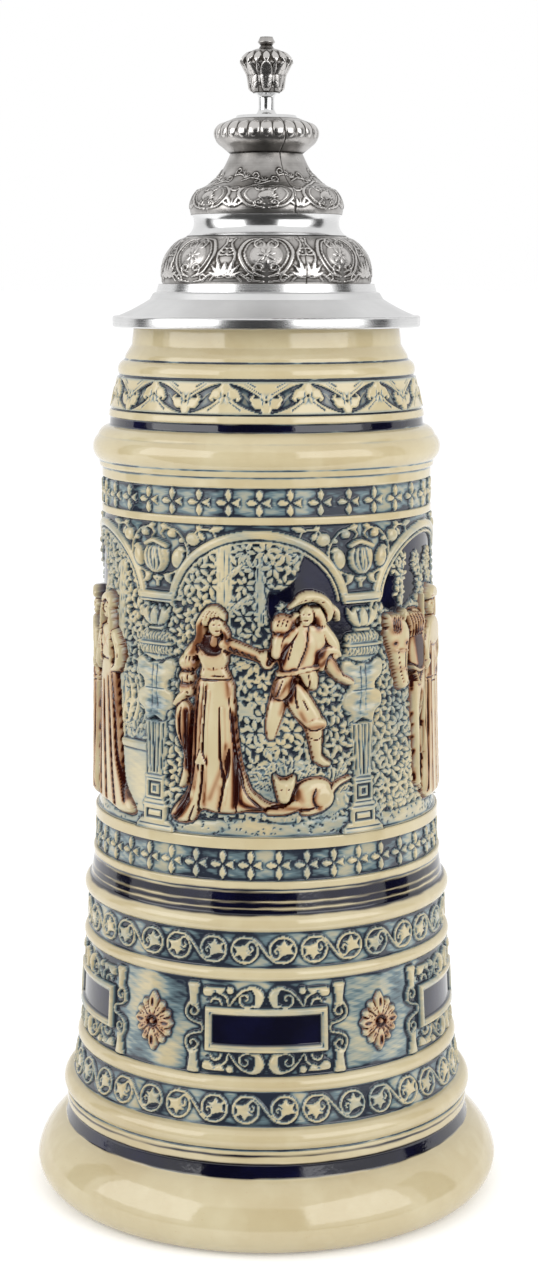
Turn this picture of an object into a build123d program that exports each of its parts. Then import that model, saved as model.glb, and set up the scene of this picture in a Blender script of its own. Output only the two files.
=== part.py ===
from build123d import *
from math import sqrt
import os

# A tall lidded beer stein: a stoneware jug with turned mouldings, an ear handle at
# the back, and a stepped pewter lid on a five-ring hinge that a strap holds to the
# handle.  Millimetres, +Z up.  The origin is the centre of the foot ring, on the
# table.  The front faces -Y and the handle is at +Y.

# ---- driving dimensions ------------------------------------------------------
JUG_HEIGHT = 350.0          # mouth rim above the table
MOUTH_RADIUS = 46.4         # inside the mouth
FOOT_RADIUS = 94.4          # widest point of the foot
BASE_RING_OUTER = 84.6
BASE_RING_INNER = 72.0
BASE_RECESS = 3.0
FLOOR_HEIGHT = 13.0         # inside floor above the table

HANDLE_Z_TOP = 324.0        # centre line of the handle's level upper arm
HANDLE_Z_BOTTOM = 176.0
HANDLE_REACH_TOP = 126.0    # outermost corner of the centre line, upper and lower
HANDLE_REACH_BOTTOM = 110.0
HANDLE_BEND_TOP = 36.0
HANDLE_BEND_BOTTOM = 28.0
HANDLE_HALF_WIDTH = 12.5
HANDLE_HALF_DEPTH = 8.5

HINGE_Y = 71.0
HINGE_Z = 353.5
KNUCKLE_RADIUS = 4.3
KNUCKLE_COUNT = 5
KNUCKLE_PITCH = 5.2
KNUCKLE_GAP = 0.2           # between neighbouring rings
KNUCKLE_CLEARANCE = 0.5     # around a ring, where the other part's web is cut away
PIN_RADIUS = 1.6
PIN_CLEARANCE = 0.05
CAP_THICKNESS = 1.8
CAP_EDGE = 0.5

STRAP_THICKNESS = 2.0
STRAP_FRONT_Y = 76.0
STRAP_BACK_Y = 90.0

LID_SEAT_GAP = 0.3          # between the mouth rim and the lid's seat
LID_RIM_RADIUS = 60.6
LID_RIM_BOTTOM = 348.4
BAND_BOTTOM = 365.0         # joint planes up the lid
COVE_BOTTOM = 383.5
BELL_BOTTOM = 391.6
KNOP_BOTTOM = 415.2
PLATE_BOTTOM = 428.4
POST_BOTTOM = 429.6
URN_BOTTOM = 438.2
FINIAL_TOP = 460.0
SPIGOT_RADIUS = 2.0
SPIGOT_HOLE = 2.05

SHANK_HALF_WIDTH = 7.7
SHANK_END_Y = 45.0
THUMB_BOTTOM = 360.0
THUMB_TOP = 389.0
THUMB_HALF_WIDTH = 9.5
THUMB_THICKNESS = 4.5
THUMB_Y = 61.5


class Outline:
    """A closed outline in (radius, height), drawn one edge after another."""

    def __init__(self, radius, height):
        self.start = self.at = (radius, height)
        self.edges = []

    def line(self, *points):
        for point in points:
            self.edges.append(Line(self.at, point))
            self.at = point
        return self

    def arc(self, through, end):
        self.edges.append(ThreePointArc(self.at, through, end))
        self.at = end
        return self

    def turned(self):
        """The outline closed and turned a full revolution about Z."""
        self.line(self.start)
        return revolve(Plane.XZ * make_face(self.edges), Axis.Z, 360)


def side_profile(points, x_from, x_to):
    """A prism between two x planes whose (y, z) section has these corners."""
    face = make_face(Polyline(*points, close=True))
    return extrude(Plane.YZ.offset(x_from) * face, x_to - x_from)


def cylinder_x(radius, x_from, x_to):
    """A cylinder on the hinge axis between two x planes."""
    plane = Plane.YZ.offset(x_from) * Pos(HINGE_Y, HINGE_Z)
    return extrude(plane * Circle(radius), x_to - x_from)


# ---- stoneware ---------------------------------------------------------------
def outer_wall(outline):
    """The turned mouldings from the foot ring up to the mouth, drawn upwards."""
    outline.line((BASE_RING_OUTER, 0))
    outline.arc((92.0, 4.3), (FOOT_RADIUS, 12.2))
    outline.arc((90.4, 21.4), (82.8, 28.2))
    outline.line((81.4, 33.2), (82.2, 34.4), (82.2, 38.6), (81.2, 39.4))
    outline.arc((83.4, 43.3), (81.0, 47.2))                     # lower roll
    outline.line((78.8, 47.8), (76.4, 60.6))                    # lower scroll band
    outline.arc((77.6, 63.4), (75.8, 66.2))
    outline.line((74.6, 66.4), (72.6, 103.4))                   # cartouche band
    outline.arc((74.4, 105.8), (73.0, 108.2))
    outline.line((72.0, 108.4), (71.6, 122.2))                  # upper scroll band
    outline.arc((74.0, 125.4), (72.4, 128.6))
    outline.line((71.4, 129.2), (69.9, 138.4), (70.3, 138.6), (70.2, 141.2))
    outline.line((68.4, 141.4), (68.0, 153.6))                  # lower cross band
    outline.line((69.4, 153.8), (69.2, 158.0))
    outline.line((66.4, 158.4), (64.4, 276.4))                  # arcade
    outline.line((65.4, 276.6), (65.4, 279.2))
    outline.line((64.3, 279.4), (64.3, 290.0))                  # upper cross band
    outline.line((65.2, 290.4), (65.2, 294.2), (66.2, 294.6), (66.4, 296.8))
    outline.arc((68.8, 301.6), (66.8, 306.4))                   # shoulder roll
    outline.arc((65.5, 308.7), (62.9, 310.2))
    outline.line((62.0, 310.6), (61.8, 313.6), (62.4, 314.0), (62.0, 316.4))
    outline.line((60.8, 316.8), (58.0, 329.6))                  # vine band
    outline.arc((58.6, 332.8), (56.0, 335.8))
    outline.line((55.6, 337.6), (53.2, 341.5), (52.5, JUG_HEIGHT - 2.0))
    outline.arc((51.9, JUG_HEIGHT - 0.6), (50.5, JUG_HEIGHT))
    return outline


def inner_wall(outline):
    """The inside from the mouth down to the middle of the floor."""
    outline.line((MOUTH_RADIUS + 2.0, JUG_HEIGHT))
    outline.arc((MOUTH_RADIUS + 0.6, JUG_HEIGHT - 0.6), (MOUTH_RADIUS, JUG_HEIGHT - 2.0))
    outline.line((MOUTH_RADIUS, 338.0), (56.8, 306.0), (57.4, 280.0), (59.6, 158.0))
    outline.line((63.4, 128.0), (65.2, 104.0), (67.0, 68.0), (71.5, 40.0))
    outline.arc((69.0, 22.0), (56.0, FLOOR_HEIGHT))
    outline.line((0, FLOOR_HEIGHT))
    return outline


def stoneware_jug():
    outline = Outline(0, BASE_RECESS)
    outline.line((BASE_RING_INNER - 2.0, BASE_RECESS), (BASE_RING_INNER, 0))
    return inner_wall(outer_wall(outline)).turned()


def jug_envelope():
    """The jug with its hollow filled, to trim what is luted onto its outside."""
    outline = outer_wall(Outline(0, 0))
    outline.line((0, JUG_HEIGHT))
    return outline.turned()


def handle_path():
    corners = [
        (0, 50.0, HANDLE_Z_TOP),
        (0, HANDLE_REACH_TOP, HANDLE_Z_TOP),
        (0, HANDLE_REACH_BOTTOM, HANDLE_Z_BOTTOM),
        (0, 56.0, HANDLE_Z_BOTTOM),
    ]
    return FilletPolyline(*corners, radius=[HANDLE_BEND_TOP, HANDLE_BEND_BOTTOM])


def stoneware_handle():
    path = handle_path()
    section = Plane(path @ 0, x_dir=(1, 0, 0), z_dir=path % 0) * Ellipse(
        HANDLE_HALF_WIDTH, HANDLE_HALF_DEPTH
    )
    return sweep(section, path) - jug_envelope()


# ---- hinge -------------------------------------------------------------------
def ring_span(index):
    """The x limits of one hinge ring, with the gap taken off both ends."""
    left = (index - KNUCKLE_COUNT / 2) * KNUCKLE_PITCH
    return left + KNUCKLE_GAP / 2, left + KNUCKLE_PITCH - KNUCKLE_GAP / 2


def with_rings(web, own, other):
    """web with its own rings added, cut clear of the other part's rings and bored."""
    for index in other:
        x_from, x_to = ring_span(index)
        cut = cylinder_x(
            KNUCKLE_RADIUS + KNUCKLE_CLEARANCE, x_from - KNUCKLE_GAP, x_to + KNUCKLE_GAP
        )
        web -= cut
    for index in own:
        web += cylinder_x(KNUCKLE_RADIUS, *ring_span(index))
    half_length = KNUCKLE_COUNT * KNUCKLE_PITCH / 2
    return web - cylinder_x(PIN_RADIUS + PIN_CLEARANCE, -half_length, half_length)


STRAP_RINGS = (0, 2, 4)
LID_RINGS = (1, 3)
HINGE_HALF_LENGTH = KNUCKLE_COUNT * KNUCKLE_PITCH / 2 - KNUCKLE_GAP / 2


def handle_strap():
    """A flat pewter band closed around the level upper arm of the handle."""
    plane = Plane((0, STRAP_FRONT_Y, HANDLE_Z_TOP), x_dir=(1, 0, 0), z_dir=(0, 1, 0))
    outside = Ellipse(HANDLE_HALF_WIDTH + STRAP_THICKNESS, HANDLE_HALF_DEPTH + STRAP_THICKNESS)
    inside = Ellipse(HANDLE_HALF_WIDTH, HANDLE_HALF_DEPTH)
    return extrude(plane * (outside - inside), STRAP_BACK_Y - STRAP_FRONT_Y)


def strap_riser():
    """The web that stands on the strap and carries the three outer hinge rings."""
    corners = [
        (STRAP_FRONT_Y, HANDLE_Z_TOP + HANDLE_HALF_DEPTH),
        (STRAP_BACK_Y - 1.0, HANDLE_Z_TOP + HANDLE_HALF_DEPTH),
        (STRAP_BACK_Y - 2.0, HANDLE_Z_TOP + HANDLE_HALF_DEPTH + 4.5),
        (HINGE_Y + 4.0, HINGE_Z - 1.0),
        (HINGE_Y - 2.0, HINGE_Z - 3.6),
    ]
    web = side_profile(corners, -HINGE_HALF_LENGTH, HINGE_HALF_LENGTH)
    plane = Plane((0, 60.0, HANDLE_Z_TOP), x_dir=(1, 0, 0), z_dir=(0, 1, 0))
    strap_body = Ellipse(HANDLE_HALF_WIDTH + STRAP_THICKNESS, HANDLE_HALF_DEPTH + STRAP_THICKNESS)
    web -= extrude(plane * strap_body, 60.0)
    return with_rings(web, STRAP_RINGS, LID_RINGS)


def hinge_pin():
    return cylinder_x(PIN_RADIUS, -HINGE_HALF_LENGTH, HINGE_HALF_LENGTH)


def hinge_cap(side):
    """A domed pewter cap that closes the outer ring over one end of the pin."""
    rise = CAP_THICKNESS - CAP_EDGE
    sphere = (KNUCKLE_RADIUS**2 + rise**2) / (2 * rise)
    middle = KNUCKLE_RADIUS / 2
    cap = Outline(0, 0)
    cap.line((KNUCKLE_RADIUS, 0), (KNUCKLE_RADIUS, CAP_EDGE))
    cap.arc((middle, CAP_THICKNESS - sphere + sqrt(sphere**2 - middle**2)), (0, CAP_THICKNESS))
    return Pos(side * HINGE_HALF_LENGTH, HINGE_Y, HINGE_Z) * Rot(0, 90 * side, 0) * cap.turned()


def hinge_cap_left():
    return hinge_cap(-1)


def hinge_cap_right():
    return hinge_cap(1)


# ---- lid ---------------------------------------------------------------------
def lid_flange():
    """The bright dished rim that covers the mouth."""
    seat = JUG_HEIGHT + LID_SEAT_GAP
    outline = Outline(MOUTH_RADIUS - 1.0, seat)
    outline.line((54.0, seat), (56.0, LID_RIM_BOTTOM), (LID_RIM_RADIUS - 0.6, LID_RIM_BOTTOM))
    outline.line((LID_RIM_RADIUS - 0.1, LID_RIM_BOTTOM + 0.5))
    outline.arc((LID_RIM_RADIUS, 350.4), (LID_RIM_RADIUS - 0.1, 352.0))
    outline.arc((LID_RIM_RADIUS - 0.4, 352.5), (LID_RIM_RADIUS - 1.0, 352.7))
    outline.line((LID_RIM_RADIUS - 2.4, 352.8))
    outline.arc((52.6, 355.3), (45.8, 359.2))
    outline.line((44.6, 361.4), (43.2, 362.0), (42.4, BAND_BOTTOM), (39.0, BAND_BOTTOM))
    outline.arc((40.4, 358.0), (MOUTH_RADIUS - 1.0, seat + 1.6))
    return outline.turned()


def lower_embossed_band():
    outline = Outline(39.0, BAND_BOTTOM)
    outline.line((40.8, BAND_BOTTOM))
    outline.arc((41.0, 371.5), (38.2, 378.0))
    outline.arc((34.9, 381.4), (30.8, COVE_BOTTOM))
    outline.line((28.6, COVE_BOTTOM))
    outline.arc((36.0, 377.2), (39.0, BAND_BOTTOM + 1.0))
    return outline.turned()


def cove_ring():
    """The bright hollow-necked ring between the two embossed tiers."""
    outline = Outline(26.6, COVE_BOTTOM)
    outline.line((31.4, COVE_BOTTOM))
    outline.arc((28.5, 387.4), (29.2, BELL_BOTTOM))
    outline.line((26.6, BELL_BOTTOM))
    return outline.turned()


def upper_embossed_bell():
    outline = Outline(27.2, BELL_BOTTOM)
    outline.line((29.6, BELL_BOTTOM))
    outline.arc((29.9, 395.8), (27.0, 401.2))
    outline.arc((19.4, 406.2), (15.5, 412.0))
    outline.line((14.0, KNOP_BOTTOM), (11.8, KNOP_BOTTOM))
    outline.arc((16.0, 405.4), (24.8, 399.6))
    outline.line((27.2, 395.6))
    return outline.turned()


def crown_knop():
    """The gadrooned knop, closed on top and bored for the finial's spigot."""
    outline = Outline(11.8, KNOP_BOTTOM)
    outline.line((14.4, KNOP_BOTTOM), (17.8, 418.0))
    outline.arc((20.2, 422.0), (17.6, 426.6))
    outline.line((13.0, PLATE_BOTTOM), (SPIGOT_HOLE, PLATE_BOTTOM), (SPIGOT_HOLE, 425.6))
    outline.line((14.6, 424.6), (17.4, 421.0), (11.8, 417.4))
    return outline.turned()


def finial_plate():
    outline = Outline(SPIGOT_HOLE, PLATE_BOTTOM)
    outline.line((12.2, PLATE_BOTTOM), (11.6, POST_BOTTOM), (SPIGOT_HOLE, POST_BOTTOM))
    return outline.turned()


def finial_post():
    """The slim stem, with a spigot down through the plate and the knop."""
    outline = Outline(0, 424.4)
    outline.line((SPIGOT_RADIUS, 424.4), (SPIGOT_RADIUS, POST_BOTTOM), (4.8, POST_BOTTOM))
    outline.arc((3.3, 431.4), (3.0, 433.6))
    outline.line((3.0, 436.0))
    outline.arc((3.5, 437.4), (4.8, URN_BOTTOM))
    outline.line((0, URN_BOTTOM))
    return outline.turned()


def finial_urn():
    """The small covered urn on top of the stem."""
    outline = Outline(0, URN_BOTTOM)
    outline.line((5.2, URN_BOTTOM), (6.3, 439.8), (7.0, 444.8), (9.4, 449.2), (9.2, 450.8))
    outline.arc((6.6, 453.6), (3.0, 455.0))
    outline.line((2.2, 456.2), (3.4, 457.4), (2.4, 459.4), (0, FINIAL_TOP))
    return outline.turned()


def lid_shank():
    """The tang that is soldered over the flange and carries the two inner rings."""
    corners = [
        (SHANK_END_Y, 357.4),
        (SHANK_END_Y + 1.0, 363.0),
        (HINGE_Y - 11.0, 360.0),
        (HINGE_Y - 2.0, HINGE_Z + 4.0),
        (HINGE_Y + 1.0, HINGE_Z + 1.0),
        (HINGE_Y - 2.0, HINGE_Z - 3.6),
        (LID_RIM_RADIUS + 1.0, LID_RIM_BOTTOM + 1.0),
        (55.0, 351.0),
    ]
    web = side_profile(corners, -SHANK_HALF_WIDTH, SHANK_HALF_WIDTH)
    web = with_rings(web, LID_RINGS, STRAP_RINGS)
    flange_core = Outline(0, LID_RIM_BOTTOM)
    flange_core.line((45.4, LID_RIM_BOTTOM), (45.4, BAND_BOTTOM), (0, BAND_BOTTOM))
    return web - lid_flange() - flange_core.turned()


def thumblift():
    """The upright lever that stands on the shank and is pressed by the thumb."""
    corners = [
        (-4.5, THUMB_BOTTOM - 4.0),
        (4.5, THUMB_BOTTOM - 4.0),
        (5.0, THUMB_BOTTOM + 6.0),
        (THUMB_HALF_WIDTH, THUMB_BOTTOM + 18.0),
        (6.0, THUMB_TOP),
        (-6.0, THUMB_TOP),
        (-THUMB_HALF_WIDTH, THUMB_BOTTOM + 18.0),
        (-5.0, THUMB_BOTTOM + 6.0),
    ]
    face = make_face(Polyline(*corners, close=True))
    plate = extrude(Plane.XZ.offset(-THUMB_Y) * face, THUMB_THICKNESS, both=False)
    return plate - lid_shank()


PARTS = {
    "stoneware_jug": stoneware_jug,
    "stoneware_handle": stoneware_handle,
    "handle_strap": handle_strap,
    "strap_riser": strap_riser,
    "hinge_pin": hinge_pin,
    "hinge_cap_left": hinge_cap_left,
    "hinge_cap_right": hinge_cap_right,
    "lid_shank": lid_shank,
    "thumblift": thumblift,
    "lid_flange": lid_flange,
    "lower_embossed_band": lower_embossed_band,
    "cove_ring": cove_ring,
    "upper_embossed_bell": upper_embossed_bell,
    "crown_knop": crown_knop,
    "finial_plate": finial_plate,
    "finial_post": finial_post,
    "finial_urn": finial_urn,
}

os.makedirs("parts", exist_ok=True)
for name, make in PARTS.items():
    shape = make()
    shape.label = name
    export_step(shape, f"parts/{name}.step")
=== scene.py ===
import math

import bpy
import numpy as np
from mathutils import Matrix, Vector
from mathutils.bvhtree import BVHTree


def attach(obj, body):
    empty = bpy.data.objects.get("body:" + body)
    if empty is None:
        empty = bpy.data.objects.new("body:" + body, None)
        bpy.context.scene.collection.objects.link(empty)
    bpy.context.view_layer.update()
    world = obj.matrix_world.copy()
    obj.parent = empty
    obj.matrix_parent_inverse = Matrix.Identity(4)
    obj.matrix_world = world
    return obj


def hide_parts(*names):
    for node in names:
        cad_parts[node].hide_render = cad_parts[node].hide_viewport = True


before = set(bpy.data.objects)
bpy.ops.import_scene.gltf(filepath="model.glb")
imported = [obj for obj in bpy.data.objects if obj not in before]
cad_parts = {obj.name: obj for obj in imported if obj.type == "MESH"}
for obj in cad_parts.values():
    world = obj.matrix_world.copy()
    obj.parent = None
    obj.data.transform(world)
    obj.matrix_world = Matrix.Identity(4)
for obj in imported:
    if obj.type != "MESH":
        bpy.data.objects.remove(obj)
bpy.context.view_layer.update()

# A relief-moulded stoneware stein with a tiered pewter lid.  Everything is worked out in
# millimetres in the CAD frame and scaled to metres where a mesh is made.  The front faces -Y.
# Angles go round the jug from the front, positive towards +X.

MM = 0.001
TURN = 2.0 * math.pi


# ---- camera ------------------------------------------------------------------------------
CAMERA_AT = (1.0, -930.0, 369.0)
CAMERA_TILT = 8.907             # degrees down from level
CAMERA_LENS = 65.77             # on a sensor 36 mm along the frame's long side


def make_camera():
    data = bpy.data.cameras.new("camera")
    data.lens = CAMERA_LENS
    data.sensor_width = 36.0
    data.sensor_fit = "AUTO"
    data.clip_start, data.clip_end = 0.01, 50.0
    camera = bpy.data.objects.new("camera", data)
    camera.location = Vector(CAMERA_AT) * MM
    camera.rotation_euler = (math.radians(90.0 - CAMERA_TILT), 0.0, 0.0)
    bpy.context.collection.objects.link(camera)
    bpy.context.scene.camera = camera


# ---- node helpers ------------------------------------------------------------------------
class Nodes:
    """A new material with one Principled shader, and short calls that add and link nodes."""

    def __init__(self, name):
        self.material = bpy.data.materials.new(name)
        self.material.use_nodes = True
        self.tree = self.material.node_tree
        self.shader = self.tree.nodes["Principled BSDF"]

    def add(self, kind, settings=(), **inputs):
        node = self.tree.nodes.new(kind)
        for key, value in dict(settings).items():
            setattr(node, key, value)
        for key, value in inputs.items():
            self.feed(node.inputs[key.replace("_", " ")], value)
        return node

    def feed(self, socket, value):
        if hasattr(value, "is_output"):
            self.tree.links.new(value, socket)
        else:
            socket.default_value = value

    def attribute(self, name):
        return self.add("ShaderNodeAttribute", {"attribute_name": name}).outputs["Fac"]

    def place(self):
        return self.add("ShaderNodeTexCoord").outputs["Object"]

    def noise(self, scale, detail=3.0, vector=None):
        node = self.add("ShaderNodeTexNoise", Scale=scale, Detail=detail, Roughness=0.55)
        self.feed(node.inputs["Vector"], vector or self.place())
        return node.outputs["Fac"]

    def ramp(self, value, low, high, out_low=0.0, out_high=1.0):
        node = self.add("ShaderNodeMapRange", {"clamp": True}, Value=value)
        node.inputs["From Min"].default_value = low
        node.inputs["From Max"].default_value = high
        node.inputs["To Min"].default_value = out_low
        node.inputs["To Max"].default_value = out_high
        return node.outputs["Result"]

    def math(self, operation, first, second):
        node = self.add("ShaderNodeMath", {"operation": operation})
        self.feed(node.inputs[0], first)
        self.feed(node.inputs[1], second)
        return node.outputs[0]

    def mix(self, factor, first, second):
        node = self.add("ShaderNodeMix", {"data_type": "RGBA"})
        self.feed(node.inputs["Factor"], factor)
        self.feed(node.inputs[6], first)
        self.feed(node.inputs[7], second)
        return node.outputs[2]

    def bump(self, height, distance):
        node = self.add("ShaderNodeBump", Height=height, Distance=distance, Strength=1.0)
        self.feed(self.shader.inputs["Normal"], node.outputs["Normal"])


def grey(level):
    return (level, level, level, 1.0)


def rgb(red, green, blue):
    """A colour given as screen values from 0 to 255."""
    def linear(value):
        value /= 255.0
        return value / 12.92 if value <= 0.04045 else ((value + 0.055) / 1.055) ** 2.4
    return (linear(red), linear(green), linear(blue), 1.0)


CREAM = rgb(176, 165, 134)
CREAM_WARM = rgb(166, 152, 118)
CREAM_PALE = rgb(184, 174, 145)
WASH_PALE = rgb(98, 120, 126)
WASH_DEEP = rgb(8, 24, 44)
COBALT = rgb(3, 3, 20)
COBALT_THIN = rgb(14, 16, 52)
BROWN_PALE = rgb(156, 104, 66)
BROWN_DEEP = rgb(40, 6, 2)


def glazed_stoneware():
    """Cream stoneware under a clear glaze, with blue and brown washes and cobalt bands that
    follow the painted masks stored on the mesh; on the figures the brown also stands for painted shade."""
    n = Nodes("glazed_stoneware")
    mottle = n.ramp(n.noise(26.0, 4.0), 0.35, 0.70)
    body = n.mix(mottle, CREAM, CREAM_WARM)
    body = n.mix(n.ramp(n.noise(90.0, 2.0), 0.52, 0.78, 0.0, 0.45), body, CREAM_PALE)
    specks = n.ramp(n.noise(1500.0, 1.0), 0.73, 0.78, 0.0, 0.35)
    body = n.mix(specks, body, rgb(150, 120, 84))

    pooled = n.noise(60.0, 4.0)
    wash = n.attribute("wash")
    uneven = n.math("MULTIPLY", wash, n.ramp(pooled, 0.30, 0.72, 0.72, 1.18))
    wash_colour = n.mix(n.ramp(uneven, 0.42, 1.05), WASH_PALE, WASH_DEEP)
    body = n.mix(n.ramp(uneven, 0.02, 0.60, 0.0, 0.97), body, wash_colour)

    # Brown wash on the figures, which also carries painted shade in their hollows and folds.
    brown = n.attribute("brown")
    uneven_brown = n.math("MULTIPLY", brown, n.ramp(pooled, 0.30, 0.70, 0.80, 1.15))
    brown_colour = n.mix(n.ramp(uneven_brown, 0.16, 0.62), BROWN_PALE, BROWN_DEEP)
    body = n.mix(n.ramp(uneven_brown, 0.02, 0.42), body, brown_colour)

    cobalt_colour = n.mix(n.ramp(n.noise(45.0, 3.0), 0.45, 0.75, 0.0, 0.6), COBALT, COBALT_THIN)
    body = n.mix(n.attribute("cobalt"), body, cobalt_colour)
    n.feed(n.shader.inputs["Base Color"], body)
    n.feed(n.shader.inputs["Roughness"], n.ramp(n.noise(120.0, 3.0), 0.3, 0.7, 0.05, 0.11))
    n.bump(n.noise(220.0, 3.0), 0.00006)
    n.shader.inputs["IOR"].default_value = 1.5
    n.shader.inputs["Specular IOR Level"].default_value = 0.62
    return n.material


def turned_pewter(name, colour, low, high, satin=None):
    """Bright pewter with the fine rings that turning leaves round the lid's axis, and a
    softer satin finish between two radii, in metres."""
    n = Nodes(name)
    place = n.place()
    parts = n.add("ShaderNodeSeparateXYZ", Vector=place)
    x, y, z = (parts.outputs[axis] for axis in "XYZ")
    radius = n.math("SQRT", n.math("ADD", n.math("MULTIPLY", x, x), n.math("MULTIPLY", y, y)), 0.0)
    rings = n.add("ShaderNodeCombineXYZ", X=radius, Y=0.0, Z=z)
    fine = n.noise(2600.0, 2.0, rings.outputs[0])
    cloud = n.noise(70.0, 3.0)
    n.feed(n.shader.inputs["Base Color"],
           n.mix(n.ramp(cloud, 0.3, 0.7, 0.0, 0.5), grey(colour), grey(colour * 0.84)))
    roughness = n.ramp(n.math("ADD", fine, n.math("MULTIPLY", cloud, 0.6)), 0.55, 1.05, low, high)
    if satin:
        blend = 0.0006
        inner = n.ramp(radius, satin[0] - blend, satin[0] + blend)
        outer = n.ramp(radius, satin[1] - blend, satin[1] + blend, 1.0, 0.0)
        roughness = n.math("ADD", roughness, n.math("MULTIPLY", n.math("MULTIPLY", inner, outer), 0.20))
    n.feed(n.shader.inputs["Roughness"], roughness)
    n.shader.inputs["Metallic"].default_value = 1.0
    n.bump(fine, 0.000012)
    return n.material


def cast_pewter(name):
    """Antiqued cast pewter: bright where the relief is rubbed, dark where it is sunk."""
    n = Nodes(name)
    sunk = n.attribute("wash")
    cloud = n.noise(160.0, 4.0)
    tone = n.math("ADD", sunk, n.ramp(cloud, 0.3, 0.75, -0.10, 0.22))
    n.feed(n.shader.inputs["Base Color"],
           n.mix(n.ramp(tone, 0.05, 0.95), rgb(198, 195, 192), rgb(66, 62, 58)))
    n.feed(n.shader.inputs["Roughness"], n.ramp(tone, 0.0, 0.8, 0.22, 0.40))
    n.shader.inputs["Metallic"].default_value = 1.0
    n.bump(n.noise(900.0, 3.0), 0.00005)
    return n.material


def foot_clay():
    """The unglazed clay of the foot ring and the underside."""
    n = Nodes("bare_clay")
    n.feed(n.shader.inputs["Base Color"],
           n.mix(n.noise(300.0, 4.0), rgb(205, 186, 146), rgb(178, 156, 116)))
    n.shader.inputs["Roughness"].default_value = 0.85
    n.bump(n.noise(1400.0, 3.0), 0.00015)
    return n.material


# ---- drawing relief ----------------------------------------------------------------------
def spline(points, per_span=8):
    """Points along a smooth curve through the given points (Catmull-Rom); each may carry a
    third number, such as a radius, that is carried along."""
    p = np.array(points, float)
    ends = np.vstack([2 * p[0] - p[1], p, 2 * p[-1] - p[-2]])
    t = np.linspace(0.0, 1.0, per_span, endpoint=False)[:, None]
    out = []
    for a, b, c, d in zip(ends[:-3], ends[1:-2], ends[2:-1], ends[3:]):
        out.append(0.5 * (2 * b + (c - a) * t + (2 * a - 5 * b + 4 * c - d) * t**2
                          + (3 * b - a - 3 * c + d) * t**3))
    return np.vstack(out + [p[-1:]])


def loop_spline(points):
    """The same, closed into a loop."""
    p = list(points)
    per_span = 6
    closed = spline([p[-1]] + p + [p[0], p[1]], per_span)
    return closed[per_span:-per_span - 1]


class Shape:
    """A signed distance, negative inside, with the box that it lies in."""

    def __init__(self, distance, low_u, high_u, low_v, high_v):
        self.distance = distance
        self.box = (low_u, high_u, low_v, high_v)


def bar(start, end, radius, end_radius=None):
    """A round-ended bar that may taper."""
    (au, av), (bu, bv) = start, end
    tip = radius if end_radius is None else end_radius
    length = max((bu - au) ** 2 + (bv - av) ** 2, 1e-9)
    wide = max(radius, tip)

    def distance(u, v):
        t = np.clip(((u - au) * (bu - au) + (v - av) * (bv - av)) / length, 0.0, 1.0)
        away = np.hypot(u - au - t * (bu - au), v - av - t * (bv - av))
        return away - (radius + (tip - radius) * t)

    return Shape(distance, min(au, bu) - wide, max(au, bu) + wide, min(av, bv) - wide, max(av, bv) + wide)


def stroke(points, radius=None, per_span=6):
    """A brush stroke along a smooth curve; a third number at each point is its half width."""
    p = [(*q[:2], q[2] if len(q) > 2 else radius) for q in points]
    path = spline(p, per_span)
    wide = path[:, 2].max()

    def distance(u, v):
        best = np.full(np.broadcast(u, v).shape, 1e3)
        for (au, av, ar), (bu, bv, br) in zip(path[:-1], path[1:]):
            length = max((bu - au) ** 2 + (bv - av) ** 2, 1e-9)
            t = np.clip(((u - au) * (bu - au) + (v - av) * (bv - av)) / length, 0.0, 1.0)
            away = np.hypot(u - au - t * (bu - au), v - av - t * (bv - av)) - (ar + (br - ar) * t)
            best = np.minimum(best, away)
        return best

    return Shape(distance, path[:, 0].min() - wide, path[:, 0].max() + wide, path[:, 1].min() - wide,
                 path[:, 1].max() + wide)


def oval(centre, half_u, half_v, lean=0.0):
    """An ellipse; lean turns it anticlockwise, in degrees."""
    cu, cv = centre
    cos, sin = math.cos(math.radians(lean)), math.sin(math.radians(lean))
    small, large = min(half_u, half_v), max(half_u, half_v)

    def distance(u, v):
        x = (u - cu) * cos + (v - cv) * sin
        y = (v - cv) * cos - (u - cu) * sin
        return (np.hypot(x / half_u, y / half_v) - 1.0) * small

    return Shape(distance, cu - large, cu + large, cv - large, cv + large)


def outline(points, smooth=True):
    """A closed outline, rounded through its points or with straight sides."""
    p = loop_spline(points) if smooth else np.array(points, float)
    q = np.roll(p, -1, axis=0)

    def distance(u, v):
        u, v = np.broadcast_arrays(u, v)
        nearest = np.full(u.shape, 1e6)
        inside = np.zeros(u.shape, bool)
        for (au, av), (bu, bv) in zip(p, q):
            length = max((bu - au) ** 2 + (bv - av) ** 2, 1e-9)
            t = np.clip(((u - au) * (bu - au) + (v - av) * (bv - av)) / length, 0.0, 1.0)
            nearest = np.minimum(nearest, (u - au - t * (bu - au)) ** 2 + (v - av - t * (bv - av)) ** 2)
            if av != bv:
                crosses = ((av > v) != (bv > v)) & (u < (bu - au) * (v - av) / (bv - av) + au)
                inside ^= crosses
        return np.where(inside, -1.0, 1.0) * np.sqrt(nearest)

    return Shape(distance, p[:, 0].min(), p[:, 0].max(), p[:, 1].min(), p[:, 1].max())


def both_sides(half, middle=()):
    """A symmetric outline: the left half from the bottom up, then its mirror image, with any
    points that lie on the middle line given as (top, bottom) heights."""
    tops = [(0.0, middle[0])] if middle else []
    bottoms = [(0.0, middle[1])] if len(middle) > 1 else []
    return list(half) + tops + [(-u, v) for u, v in reversed(half)] + bottoms


def block(centre, half_u, half_v, corner=0.0):
    """A rectangle, with rounded corners if asked."""
    cu, cv = centre

    def distance(u, v):
        x = np.abs(u - cu) - half_u + corner
        y = np.abs(v - cv) - half_v + corner
        outside = np.hypot(np.maximum(x, 0.0), np.maximum(y, 0.0))
        return outside + np.minimum(np.maximum(x, y), 0.0) - corner

    return Shape(distance, cu - half_u, cu + half_u, cv - half_v, cv + half_v)


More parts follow.
